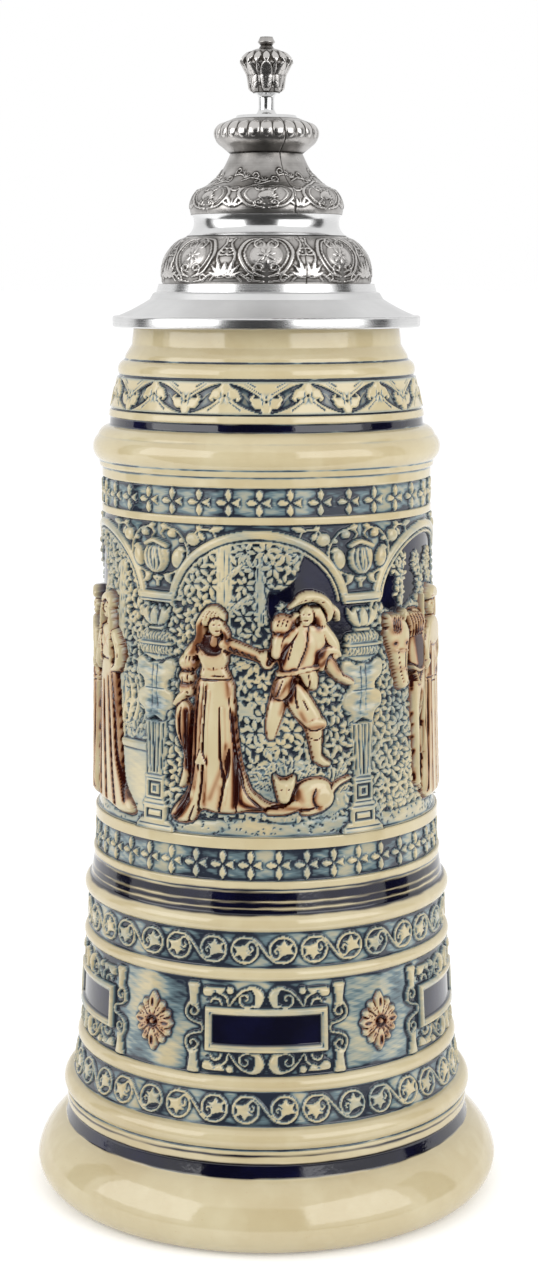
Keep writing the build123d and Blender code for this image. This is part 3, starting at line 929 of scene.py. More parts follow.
def grass(sheet, rng):
    """The trodden ground: a low bank with short tufts."""
    bank = [(-HALF_BAY - 1, 157), (-HALF_BAY - 1, 165), (-24, 163.6), (-6, 164.6), (10, 163.2), (26, 165.4),
            (HALF_BAY + 1, 164), (HALF_BAY + 1, 157)]
    sheet.put(outline(bank), 1.3, 3, 0.6)
    for _ in range(110):
        u, v = rng.uniform(-HALF_BAY, HALF_BAY), rng.uniform(158.6, 166)
        lean = rng.uniform(-1.6, 1.6)
        sheet.add(leaf((u, v), (u + lean, v + rng.uniform(0.5, 1.3)), 0.42), -0.8, 0.4)
        sheet.paint(leaf((u, v), (u + lean, v + 0.9), 0.5), "tint", rng.uniform(0.2, 0.8), 0.8)
    for _ in range(34):
        u, v = rng.uniform(-HALF_BAY + 6, HALF_BAY - 6), rng.uniform(164, 168)
        for lean in (-1.4, -0.5, 0.6, 1.5):
            sheet.put(leaf((u, v), (u + lean, v + 3.2 - abs(lean) * 0.7), 0.42), 1.2, 0.4, 0.4)


def trunk(sheet, points, top=1.5):
    """A tree trunk or branch with bark lines."""
    sheet.put(stroke(points), top, 2, 0.5)
    for shift in (-0.5, 0.1, 0.6):
        line = [(u + shift * r, v, 0.2) for u, v, r in points]
        sheet.add(stroke(line), -0.4, 0.25)


def bush(sheet, rng, at, half_u, half_v, leaves=40):
    """A mound of long blades that fan out and droop from its foot."""
    sheet.put(oval(at, half_u, half_v), 1.2, 3, 0.3)
    for _ in range(leaves):
        angle = rng.uniform(0.05, math.pi - 0.05)
        reach = rng.uniform(0.15, 0.85)
        u = at[0] + half_u * reach * math.cos(angle)
        v = at[1] + half_v * reach * math.sin(angle)
        out = 2.6 * math.cos(angle)
        blade = [(u, v, 0.3), (u + 0.6 * out, v + 2.2, 0.5),
                 (u + 1.5 * out, v + 2.6 * abs(math.sin(angle)) + 0.4, 0.25)]
        sheet.add(stroke([(a + 0.5, b - 0.3, 0.35) for a, b, _ in blade], per_span=3), -0.45, 0.4)
        sheet.put(stroke(blade, per_span=3), 1.75, 0.45, 1)


# ---- figures -----------------------------------------------------------------------------
def small_face(sheet, at, size=1, turned=1):
    """A plain oval head in relief, looking a little to one side, with simple features."""
    f = sheet.moved(at[0], at[1], mirror=turned, scale=size)
    f.put(oval((0, 0), 2.9, 3.9), 3.9, 2.6, 1.8)
    f.put(oval((0.5, -2.4), 1.7, 1.5), 3.9, 1.3, 2.6)
    f.add(oval((-0.4, 0.7), 0.85, 0.5), -0.42, 0.5)
    f.add(oval((1.6, 0.7), 0.65, 0.5), -0.42, 0.45)
    f.add(stroke([(-1.3, 1.5, 0.3), (-0.3, 1.7, 0.35), (0.6, 1.4, 0.3)]), 0.22, 0.35)
    f.add(stroke([(0.75, 1.2, 0.3), (0.95, 0, 0.42), (1, -0.5, 0.55)]), 0.5, 0.5)
    f.add(bar((0.2, -1.6), (1.5, -1.6), 0.24), -0.4, 0.3)
    f.add(bar((0.4, -2.15), (1.3, -2.15), 0.32), 0.22, 0.35)


def folds(sheet, lines, depth=-1.1, width=0.75, wash_and_shade=0):
    """Long pleats cut into cloth, with brown wash and painted shade laid in them."""
    for line in lines:
        points = [(*p, width * (0.5 if i == 0 else 1)) for i, p in enumerate(line)]
        sheet.add(stroke(points), depth, width * 1.1)
        sheet.paint(stroke(points), "tint", wash_and_shade, width)
        beside = [(u + width * 1.5, v, width * 0.9) for u, v in line]
        sheet.add(stroke(beside), 0.32, width)


def brown_wash_and_shade(sheet, marks, soft=1):
    """Brown wash and painted shade brushed along lines; each mark is (line, half width, strength)."""
    for line, half, strength in marks:
        sheet.paint(stroke(line, half), "tint", strength, soft)


def gowned_figure(wall_sheet):
    """A standing figure in a long laced gown, one arm reaching out."""
    s = wall_sheet.layer()
    skirt = [(-21.4, 218.8), (-23.6, 210), (-24.8, 193), (-25.6, 178), (-28.5, 172.5), (-33.6, 165.6),
             (-30.6, 162.6), (-24.4, 163.6), (-21, 168.2), (-15, 167.4), (-9, 167.4), (-4, 168.4),
             (2.6, 168.4), (10.4, 167.6), (9.8, 170.2), (4.4, 171.4), (0.2, 174.4), (-3, 178), (-6.4, 190),
             (-7.8, 203), (-8.3, 210.6), (-10, 218.8)]
    s.put(outline(skirt), 3.4, 2.6, 0.5)
    s.add(oval((-15.6, 196), 6, 22), 0.7, 5)
    folds(s, ([(-21, 216), (-22.4, 204), (-23.2, 186), (-25.6, 172)],
              [(-18.6, 214), (-19.6, 200), (-20.2, 180), (-21.8, 168)],
              [(-13.4, 208), (-13.2, 190), (-12.2, 178), (-14, 167.4)],
              [(-10.2, 212), (-8.8, 198), (-7.2, 182), (-7.6, 168)],
              [(-8.6, 196), (-6.2, 184), (-3.6, 175), (1.6, 169.4)],
              [(-5.4, 182), (-2.2, 174.4), (3.6, 169), (8.6, 168)],
              [(-26.4, 171), (-28.2, 166.8), (-31, 163.4)], [(-23, 170), (-25, 165.4), (-26.2, 162.6)]))
    s.add(leaf((-12, 176), (-9.6, 194), 1.9), -1.2, 1.5)
    cloak = [(-28.4, 210), (-31.4, 206.6), (-31.8, 198), (-28.6, 190), (-28.8, 182), (-30.4, 176),
             (-27, 177.4), (-25.6, 184), (-25.4, 196), (-25, 206)]
    s.put(outline(cloak), 2.7, 1.8, 0.4)
    folds(s, ([(-29, 207), (-29.6, 198), (-27.6, 188)], [(-26.8, 205), (-27.2, 196), (-26.8, 184)]))
    torso = [(-21.2, 232.6), (-18.8, 234.6), (-14.2, 234.4), (-11.4, 232.6), (-10.8, 228), (-11.4, 223),
             (-9.9, 218.4), (-15.5, 217.4), (-21.4, 218.6), (-21, 223.4), (-22.8, 228)]
    s.put(outline(torso), 3.6, 2.6, 0.6)
    s.put(oval((-15.9, 226.2), 5.2, 4.6), 4.3, 4.6, 2.8)
    neckline = [(-21.6, 234.6), (-21.4, 231.6), (-19.6, 228.8), (-16.4, 227.7), (-13.6, 228.4),
                (-12.4, 231), (-12.8, 234), (-16, 235.6)]
    s.level(outline(neckline), 2.1, blend=0.9)
    s.put(stroke([(-15.6, 235.4, 1.3), (-16, 232, 1.7)]), 2.9, 1.5, 1.8)
    # Brown wash and painted shade in the hollow of the neckline, under the chin.
    s.paint(outline(neckline), "tint", 0.34, 1)
    s.paint(stroke([(-21, 235), (-20.4, 231), (-17.4, 228.9), (-14.2, 229.4), (-12.8, 232), (-12.6, 235)],
                   1.1), "tint", 1.1, 1)
    s.put(stroke([(-21.4, 231.2, 0.4), (-19.4, 228.2, 0.42), (-16.2, 227, 0.45), (-13.2, 227.8, 0.42),
                  (-12, 230.6, 0.4)]), 4.5, 0.45, 3)
    for v in (219.6, 218):
        s.add(bar((-21.4, v - 0.2), (-10, v + 0.5), 0.28), -0.6, 0.32)
    for u in (-19.6, -15.6, -12.6):
        s.add(bar((u, 223.2), (u + 0.4, 219.8), 0.2), -0.4, 0.25)
    s.put(stroke([(-23.2, 230.6, 2.2), (-25.6, 227.2, 2.7)]), 3.4, 2.2, 0.6)
    s.put(oval((-26.4, 224.2), 3.9, 3.6), 3.9, 2.8, 0.6)
    s.put(oval((-27, 218.6), 3.3, 2.6), 3.7, 2.2, 0.6)
    for k in range(-2, 3):
        s.add(bar((-26.4 + k * 1.35, 226.6), (-26.6 + k * 1.2, 221.4), 0.28), -0.9, 0.36)
        s.add(bar((-27 + k * 1.2, 220.2), (-27 + k * 1, 217), 0.26), -0.8, 0.34)
    s.put(outline([(-29.2, 216.4), (-25, 216.2), (-24, 212.4), (-27, 211.2), (-30, 212.8)]), 3.2, 1.5, 0.6)
    s.add(oval((-27, 212.6), 1.8, 0.9, 8), -1.2, 0.6)
    s.put(stroke([(-27.2, 212.6, 1.2), (-29.4, 210.6, 1.5), (-31.4, 208.2, 1)]), 3.5, 1.2, 1.6)
    s.put(stroke([(-12, 231.6, 2.5), (-7.4, 230.4, 2.2), (-2.2, 228.6, 1.9), (3.2, 226.4, 1.5)]), 3.5, 1.9,
          0.6)
    for k in range(6):
        s.add(bar((-9.6 + k * 2.2, 231 - k * 0.85), (-8.4 + k * 2.2, 228.8 - k * 0.8), 0.42), -0.9, 0.45)
    s.put(outline([(0.6, 228.4), (4, 229.6), (6.4, 229.4), (7, 226.8), (5.6, 223.4), (3.2, 222.6),
                   (1.4, 224.6)]), 3.8, 1.2, 0.8)
    s.level(oval((4.9, 226.2), 1.1, 2.4, -22), 2, blend=0.6)
    # Brown wash and painted shade in the open cuff.
    s.paint(oval((4.9, 226.2), 1, 2.2, -22), "tint", 1, 0.6)
    for shift in range(6):
        lock = [(-19.8 + shift * 0.3, 243 - shift * 0.2, 1), (-21.8 + shift * 0.3, 239.2, 1.1),
                (-21.9 + shift * 0.3, 235, 1), (-23.6 + shift * 0.4, 231, 0.8),
                (-25 + shift * 0.6, 227.6, 0.5)]
        s.put(stroke(lock), 3.7 - shift * 0.12, 0.9, 1.4)
        # Brown wash and painted shade in the crease beside each lock.
        s.paint(stroke([(u + 0.3, v) for u, v, _ in lock[1:]], 0.25), "tint", 0.9, 0.6)
    s.put(stroke([(-12.6, 238, 1), (-11.4, 235.4, 1.2), (-11.8, 232.6, 0.9), (-10.6, 230.8, 0.6)]), 3.2,
          0.9, 1.2)
    small_face(s, (-15.2, 238.6))
    crown = [(-20.6, 239.4), (-20.8, 242.6), (-18.6, 245.6), (-14.8, 246), (-12, 243.8), (-11.6, 240.6),
             (-13.6, 241.6), (-16.4, 241.2), (-18.6, 238.6)]
    s.put(outline(crown), 4.3, 1.8, 1.8)
    for k in range(5):
        s.add(stroke([(-20.2 + k * 1.5, 240.4 + k * 0.2, 0.22), (-18.6 + k * 1.3, 243.8, 0.25),
                      (-15 + k * 0.7, 245.4 - k * 0.3, 0.2)]), -0.45, 0.28)
    # Brown wash and painted shade in the folds, under the arms and belt and beside the hair.
    brown_wash_and_shade(s, (([(-21.4, 238), (-22, 233), (-24.6, 228)], 1, 0.6),
               ([(-23, 214), (-24.4, 196), (-25.6, 178), (-29.6, 167)], 0.9, 1.1),
               ([(-21.4, 210), (-22.4, 190), (-23.4, 176)], 0.5, 0.8),
               ([(-10.8, 194), (-12.4, 185.6), (-15, 178.6), (-17.2, 172.6)], 0.6, 0.7),
               ([(-8.6, 206), (-7.8, 190), (-8.2, 170)], 0.8, 1.1),
               ([(-6.4, 200), (-6, 184), (-6.2, 173), (-1, 169.6), (8, 168.4)], 0.9, 1.1),
               ([(-4.6, 189.6), (-2.8, 184.4), (-2.4, 179.6)], 1.2, 0.9),
               ([(-13, 178), (-13.6, 169)], 0.5, 0.8), ([(-19.4, 184), (-19.2, 169.6)], 0.45, 0.9),
               ([(-26.8, 206), (-26.6, 196), (-26.4, 184)], 1, 1.1),
               ([(-29.8, 204), (-29, 195), (-28, 189)], 0.6, 0.9),
               ([(-25.4, 172), (-28.4, 166.4), (-31.6, 164.4)], 1.2, 1),
               ([(-10.8, 219), (-10.2, 212)], 0.5, 0.9), ([(-21.6, 218), (-22.6, 213)], 0.6, 1),
               ([(-9.8, 230.2), (-6.6, 229.2)], 0.9, 1), ([(-5, 228.6), (-0.6, 227)], 0.9, 1),
               ([(-24.4, 222), (-28.4, 221.4)], 0.6, 0.8), ([(-23.6, 226), (-22.8, 219.6)], 0.5, 1),
               ([(-24.6, 215.8), (-29, 215.4)], 0.6, 1), ([(-22.6, 236), (-23.6, 231.6)], 0.6, 0.8),
               ([(-12, 236), (-10.4, 232.6)], 0.8, 1)))
    s.put(stroke([(-18.8, 217.6, 0.28), (-19.6, 204, 0.28), (-20.4, 191.6, 0.34)]), 4.2, 0.35, 3.4)
    s.put(outline([(-22, 188.6), (-20.5, 191.4), (-18.9, 188.6), (-18.4, 186), (-22.6, 186)]), 4.9, 1.3,
          2.8)
    s.put(bar((-20.5, 185.8), (-20.5, 183.8), 0.5), 4.4, 0.5, 2.8)
    wall_sheet.lay_on(s)


def hatted_figure(wall_sheet):
    """A youth in a slashed tunic and soft broad hat, stepping down a bank."""
    s = wall_sheet.layer()
    s.put(stroke([(8.6, 213, 3.2), (6.8, 206.4, 3), (5.6, 201, 2.3), (5.2, 197, 1.4)]), 2.3, 2.3, 0.4)
    s.put(stroke([(13.8, 213.4, 4.3), (17.2, 207.6, 4.4), (20.4, 203, 3.8), (21.4, 198.6, 3),
                  (22, 192.6, 2.1), (22.4, 188.2, 1.6)]), 3.6, 2.8, 0.5)
    s.put(outline([(17.8, 202.4), (21, 204.2), (25.2, 203), (25.4, 200), (22, 199), (18.4, 199.8)]), 4, 1.6,
          1.8)
    s.add(stroke([(18, 200.4, 0.35), (20.4, 199, 0.4), (24.8, 200.4, 0.35)]), -1, 0.45)
    s.add(stroke([(18.8, 196.4, 0.3), (21.6, 195.6, 0.35), (24.4, 196.8, 0.3)]), -0.9, 0.4)
    s.add(stroke([(16.6, 211, 0.3), (18.4, 207, 0.35)]), -0.7, 0.36)
    s.put(stroke([(22.6, 188.4, 1.7), (24.6, 186.6, 1.5), (26.8, 185.8, 0.9)]), 3, 1.4, 0.6)
    tunic = [(14.4, 239.2), (20, 240), (25.6, 238.2), (26, 231), (22.4, 223.6), (22.8, 219), (22, 214.4),
             (17.8, 215.6), (14.8, 219.4), (12, 211.4), (6, 211.4), (6.2, 217), (8.8, 221.4), (8.2, 227.4),
             (12, 234)]
    s.put(outline(tunic), 3.7, 2.8, 0.5)
    s.add(oval((17.6, 231.6), 4.2, 5.6), 0.5, 3.6)
    s.add(stroke([(18.6, 238.6, 0.3), (17.6, 231, 0.35), (14.8, 223.4, 0.35)]), -1, 0.42)
    s.add(stroke([(14.2, 237.6, 0.25), (12.6, 231.4, 0.3), (11.2, 226.4, 0.3)]), -0.7, 0.36)
    s.put(stroke([(7.6, 220.8, 0.8), (13.4, 221.6, 0.9), (22, 223.2, 0.8)]), 4.2, 0.8, 3)
    s.put(oval((13.4, 221.4), 1.3, 1.1), 4.5, 0.8, 3.4)
    folds(s, ([(13.6, 219.4), (12.6, 214.4), (9.8, 211)], [(14.2, 219.2), (13.8, 212.6), (14.6, 208)],
              [(18.6, 220.4), (19.2, 215.6)], [(9.4, 218.8), (7.2, 212.6)]), -1, 0.55)
    s.put(stroke([(13.6, 237, 2.5), (9.6, 232.4, 2.6), (7, 228.4, 2.2)]), 3.7, 2.2, 0.6)
    s.put(stroke([(7.2, 228.6, 2), (7.8, 233.6, 2.1), (9.6, 237.4, 1.7)]), 4.1, 1.8, 1.4)
    s.put(outline([(5.6, 237.2), (9, 235.6), (13, 238), (13.2, 241.4), (9.4, 243), (6.2, 241.6)]), 3.9, 1.5,
          1.2)
    for k in range(3):
        s.add(bar((7.4 + k * 1.5, 239.2), (8.2 + k * 1.5, 241.8), 0.22), -0.6, 0.26)
    s.put(stroke([(24.8, 236.8, 2.7), (28.4, 231.4, 2.8), (28.8, 227.6, 2.5)]), 3.6, 2.3, 0.6)
    s.put(outline([(20.8, 228.6), (25, 231.2), (30.4, 230.2), (31.6, 226.2), (27, 227.4), (24.4, 221.4),
                   (21.6, 223.4)]), 4, 1.4, 1)
    s.put(stroke([(26.4, 225.6, 2.5), (29, 221.4, 2.1), (31.6, 218.4, 1.5)]), 3.5, 1.9, 0.8)
    s.put(stroke([(31.8, 218.4, 1.2), (34, 217.2, 1.4), (36.2, 216.2, 0.8)]), 3.7, 1.1, 1.8)
    s.put(oval((17.6, 239), 2.2, 2.4), 3.2, 1.8, 1.6)
    for shift in range(4):
        s.put(stroke([(21 + shift * 0.6, 245, 0.9), (22 + shift * 0.8, 241.4, 1.1),
                      (22.2 + shift * 1.1, 238 - shift * 0.5, 0.6)]), 3.6, 0.9, 1.2)
        s.put(stroke([(14.2 + shift * 0.3, 243.2, 0.7), (13.4 - shift * 0.4, 240.6, 0.8),
                      (13.8 - shift * 0.2, 238.8, 0.5)]), 3.1, 0.8, 1.2)
    small_face(s, (18.4, 242.6), 0.98, -1)
    # Brown wash and painted shade in the folds, under the arms and hat and between the legs.
    brown_wash_and_shade(s, (([(13.6, 219.4), (12.4, 214), (12, 210.6)], 0.9, 1.1),
               ([(12.8, 219.6), (9, 214), (7.6, 211.6)], 0.45, 0.9),
               ([(14.6, 219), (17.4, 214.4)], 0.45, 0.9), ([(6.8, 218.4), (5.8, 211.4)], 1, 1),
               ([(10.4, 211.6), (8.6, 205.6)], 0.8, 0.7),
               ([(10.6, 231.6), (9.4, 226.6), (8.2, 223.6)], 1.1, 1.1),
               ([(18.2, 237.6), (18, 231.4), (15.8, 224.4)], 0.4, 1),
               ([(22.4, 229), (21, 223.6)], 0.7, 1.1), ([(25, 231), (23.4, 227)], 0.6, 1),
               ([(22.6, 223.4), (27, 227)], 0.6, 0.9), ([(14.4, 241), (12.6, 238)], 1, 1.1),
               ([(21.6, 241.6), (22.4, 237.8)], 1, 0.9), ([(18.4, 200.2), (24.6, 200.6)], 0.4, 0.9),
               ([(18.4, 199), (19.2, 193), (20.6, 189)], 0.4, 0.8),
               ([(15.6, 206.4), (17.4, 202.6)], 0.5, 0.9), ([(6.6, 236.2), (11, 236)], 0.8, 1.1),
               ([(8, 221.6), (14, 222.6)], 0.4, 0.9),
               ([(6.6, 241.4), (9, 242.2), (12.6, 240.8)], 0.35, 0.8),
               ([(28, 225.4), (30.4, 221)], 0.5, 0.8)))
    hat = [(11, 245.2), (13.4, 248.4), (16.2, 251.4), (21.2, 251.8), (26, 249.6), (28.6, 245.6),
           (27.6, 240.8), (25.4, 240.2), (25, 244.4), (21.4, 247.6), (16.4, 247), (13, 245.6)]
    s.put(outline(hat), 4.6, 1.9, 1.4)
    s.add(stroke([(13.6, 247, 0.3), (18.4, 248.8, 0.35), (24.4, 247.6, 0.3)]), -0.8, 0.4)
    s.put(stroke([(26.6, 246.6, 1.3), (29.6, 243.8, 1.5), (30.4, 240.8, 1)]), 3.6, 1.3, 0.8)
    wall_sheet.lay_on(s)


def dog(wall_sheet, at=(0, 0), mirror=1):
    """A lying hound with its nose on the ground."""
    layer = wall_sheet.layer()
    s = layer.moved(at[0], at[1], mirror=mirror)
    s.put(outline([(12.6, 176), (16.6, 179.4), (22, 180.6), (26.6, 179), (28.6, 174.6), (27.4, 170),
                   (23, 167.8), (16, 168.4), (12.8, 171.4)]), 3.6, 4.2, 0.5)
    s.put(oval((24, 173.4), 4.6, 4.9, 14), 4.2, 3.4, 1.6)
    s.put(stroke([(23.6, 169.6, 1.9), (20, 168, 1.3), (17.2, 167.6, 0.9)]), 3.6, 1.3, 0.6)
    s.put(stroke([(27.6, 175.4, 1.1), (31, 178.2, 0.9), (35.8, 179.8, 0.5)]), 2.6, 1, 0.4)
    s.put(stroke([(14.8, 171, 2.4), (10, 168.6, 1.5), (4.4, 168.2, 1.1)]), 3.4, 1.5, 0.6)
    head = [(6.2, 182.6), (8.4, 180.8), (11.4, 180.9), (13.8, 182.2), (14, 178.6), (13, 175.4),
            (11.8, 172.2), (9.8, 171.2), (8, 172.4), (7.2, 175.6), (6.4, 178.8)]
    s.put(outline(head), 4.6, 2.2, 1)
    s.add(bar((9.9, 179), (9.8, 174.6), 0.7), 0.35, 0.8)
    for u in (8.6, 11.4):
        s.add(oval((u, 177.2), 0.5, 0.4), -0.7, 0.4)
    s.add(oval((9.8, 172.2), 0.8, 0.5), -0.6, 0.4)
    s.add(stroke([(21.4, 177, 0.3), (20.2, 173, 0.4), (21.6, 169.6, 0.35)]), -1.2, 0.45)
    # Brown wash and painted shade under the head, along the belly and in the folds.
    brown_wash_and_shade(s, (([(14.2, 178), (14.4, 173)], 0.6, 1), ([(21, 176), (20.6, 171.6), (23, 168.8)], 0.5, 1),
               ([(6, 169.6), (12, 169.6), (18, 169)], 0.5, 1), ([(15.4, 176.4), (16.4, 172)], 0.8, 0.5)),
           0.9)
    wall_sheet.lay_on(layer)


def horse(wall_sheet):
    """A saddled horse with its head lowered and turned a little to the viewer."""
    s = wall_sheet.layer()
    s.put(outline([(-17, 238), (-9, 241), (2, 233), (14, 231.6), (19, 224), (18, 212), (10, 207),
                   (-6, 206.6), (-13, 211), (-16, 222)]), 3.6, 4.6, 0.4)
    # Brown wash and painted shade on the chest under the head.
    s.paint(stroke([(-13, 233, 2.6), (-10, 226, 3.4), (-8.6, 219.6, 3.2)]), "tint", 0.9, 1.4)
    for k in range(6):
        s.put(stroke([(-20 + k * 2, 240.6 - k * 0.3, 0.7), (-17.6 + k * 1.9, 236, 0.9),
                      (-17.2 + k * 1.6, 231, 0.4)]), 4.6, 0.7, 2)
        # Brown wash and painted shade between the locks of the mane.
        s.paint(bar((-19.4 + k * 2, 239.6), (-17.4 + k * 1.7, 232.6), 0.35), "tint", 0.9, 0.4)
    s.put(outline([(-30.4, 232.6), (-29.6, 236.6), (-25.4, 239), (-20.4, 238.4), (-17.4, 233), (-18.4, 226),
                   (-18.8, 219), (-17.9, 213.4), (-20.4, 210.9), (-23.6, 212.2), (-25.2, 218),
                   (-27.2, 224)]), 4.6, 2.8, 0.6)
    s.put(leaf((-29.2, 234.4), (-29.8, 241.4), 1.2), 4.4, 0.9, 1)
    s.put(leaf((-21.4, 237), (-20.6, 242.8), 1.2), 4.4, 0.9, 1)
    for k in range(5):
        s.put(stroke([(-24 - k * 1.1, 240.4, 0.5), (-24.4 - k * 1.2, 236.4, 0.7),
                      (-23.8 - k * 0.9, 232, 0.3)]), 5, 0.6, 2.4)
        # Brown wash and painted shade between the locks of the forelock.
        s.paint(bar((-24.6 - k * 1.1, 239.6), (-24.6 - k * 1, 233.4), 0.3), "tint", 0.85, 0.4)
    for at in ((-27, 229.6), (-20.8, 229.2)):
        s.add(oval(at, 0.9, 0.7), -0.8, 0.5)
        # Brown wash and painted shade round the eyes.
        s.paint(oval(at, 1.3, 1), "tint", 0.9, 0.8)
    s.add(oval((-20.2, 213.6), 0.6, 0.7), -0.8, 0.4)
    s.add(stroke([(-25.6, 226.6, 0.3), (-24, 219, 0.35), (-22.4, 214, 0.3)]), -0.8, 0.5)
    s.add(stroke([(-21.4, 227, 0.3), (-21.6, 221, 0.35), (-20.6, 216.4, 0.3)]), -0.7, 0.45)
    for line in ([(-25.6, 219.6), (-18.6, 219)], [(-28.2, 226.8), (-18.2, 226)]):
        s.add(bar(*line, 0.34), 0.6, 0.35)
        # Brown wash and painted shade along the straps.
        s.paint(bar(*line, 0.5), "tint", 0.5, 0.4)
    for path in ([(-10.4, 212, 3.2), (-11.6, 202, 2.1), (-11, 191, 1.7), (-10.6, 178, 1.3),
                  (-10.2, 172.6, 1.7)], [(-5.4, 210, 3), (-4.8, 199, 2), (-5.2, 188, 1.5), (-5.6, 176, 1.1),
            (-6.4, 170, 1.6)], [(15, 214, 4), (16.6, 203, 2.4), (14.6, 192, 1.6), (16, 179, 1.2),
                                (14.6, 171, 1.7)],
                 [(10.4, 210, 3), (10.6, 199, 1.9), (8.6, 189, 1.3), (9.6, 176, 1.1), (8.4, 170, 1.6)]):
        s.put(stroke(path), 3.4, 1.6, 0.4)
    # Brown wash and painted shade between the legs.
    s.paint(stroke([(-8.2, 208, 0.9), (-7.8, 196, 0.8), (-8.2, 182, 0.8), (-8, 172, 0.6)]), "tint", 0.9,
            0.8)
    s.put(stroke([(18.6, 226, 1.5), (22, 217, 2), (21.6, 203, 1.7), (23, 193, 0.8)]), 3.1, 1.5, 0.4)
    s.put(stroke([(-15.8, 219, 0.7), (-11, 217.2, 0.8), (-4.6, 218.8, 0.7)]), 4.6, 0.6, 2.6)
    s.put(stroke([(-13.8, 216.6, 0.5), (-10.8, 212, 0.6), (-8.4, 216.4, 0.5)]), 4.4, 0.5, 2.6)
    s.put(outline([(-4, 233), (6.4, 231.6), (8, 218), (-2, 217)]), 4.6, 1.4, 3)
    s.add(stroke([(-1, 230, 0.35), (-0.8, 220, 0.4)]), -0.8, 0.45)
    wall_sheet.lay_on(s)


def cloaked_figure(wall_sheet, at=(0, 0), mirror=1, staff=True):
    """A standing figure in a long cloak and cap, with a staff."""
    layer = wall_sheet.layer()
    s = layer.moved(at[0], at[1], mirror=mirror)
    if staff:
        s.put(stroke([(9, 246, 0.6), (8.6, 205, 0.6), (7.4, 166, 0.6)]), 3.2, 0.6, 1)
    robe = [(-6.8, 233), (-2, 235.6), (3, 235.2), (6.6, 231.6), (7.4, 220), (7.8, 204), (8.8, 184),
            (10, 170), (6, 164.6), (-4, 164), (-12, 164.6), (-13.8, 169), (-10.6, 186), (-8.4, 206),
            (-8.4, 222)]
    s.put(outline(robe), 3.9, 3.2, 0.5)
    # The pleats carry brown wash and painted shade.
    folds(s, ([(-4, 230), (-5.6, 214), (-7, 190), (-9.6, 168)],
              [(-0.6, 222), (-1.6, 200), (-2.8, 182), (-4.4, 166.6)],
              [(3.4, 226), (3.6, 206), (2.8, 186), (2.2, 167)],
              [(5.8, 214), (6.2, 196), (6.6, 180), (7.2, 168)]), wash_and_shade=0.75)
    # Brown wash and painted shade under the arm, under the chin and at the side.
    for line in ([(-8, 219), (-5.2, 215.6), (-3, 213.8)], [(-1.8, 238.2), (1.8, 237.8)],
                 [(4.8, 221.4), (4.4, 214)]):
        s.paint(stroke(line, 0.9), "tint", 0.9, 1)
    s.put(outline([(-7.4, 232.6), (-2, 236.6), (3.6, 236), (7.2, 231.8), (5.4, 226.4), (-0.6, 224.6),
                   (-7.2, 226.8)]), 4.5, 1.7, 2.6)
    s.put(stroke([(5.6, 230.6, 2.4), (7.4, 224, 2.3), (7, 219.6, 1.7)]), 4.4, 1.9, 1.2)
    s.put(stroke([(6.4, 219.4, 1.5), (8.8, 217.6, 1.5)]), 4.6, 1.2, 2)
    s.put(stroke([(-6.6, 230, 2.3), (-8.4, 222, 2.2), (-3.4, 217.6, 1.7)]), 4.3, 1.8, 1.2)
    for v in (212, 210.4):
        s.add(bar((-8, v), (7.4, v + 0.8), 0.28), -0.6, 0.32)
    for k in range(4):
        s.put(stroke([(-3.4 - k * 0.5, 243.4, 0.9), (-4.4 - k * 0.5, 239.6, 1.1),
                      (-4 - k * 0.7, 235.6, 0.6)]), 3.6, 0.9, 1.2)
    small_face(s, (-0.2, 240.6))
    s.put(outline([(-5.6, 243.4), (-4.2, 247.6), (0.6, 248.8), (4.2, 246.6), (4.4, 243.6), (0.6, 243)]),
          4.5, 1.6, 1.6)
    s.add(stroke([(-5.2, 244.4, 0.28), (-0.4, 244.4, 0.3), (4.2, 244.6, 0.28)]), -0.7, 0.36)
    wall_sheet.lay_on(layer)


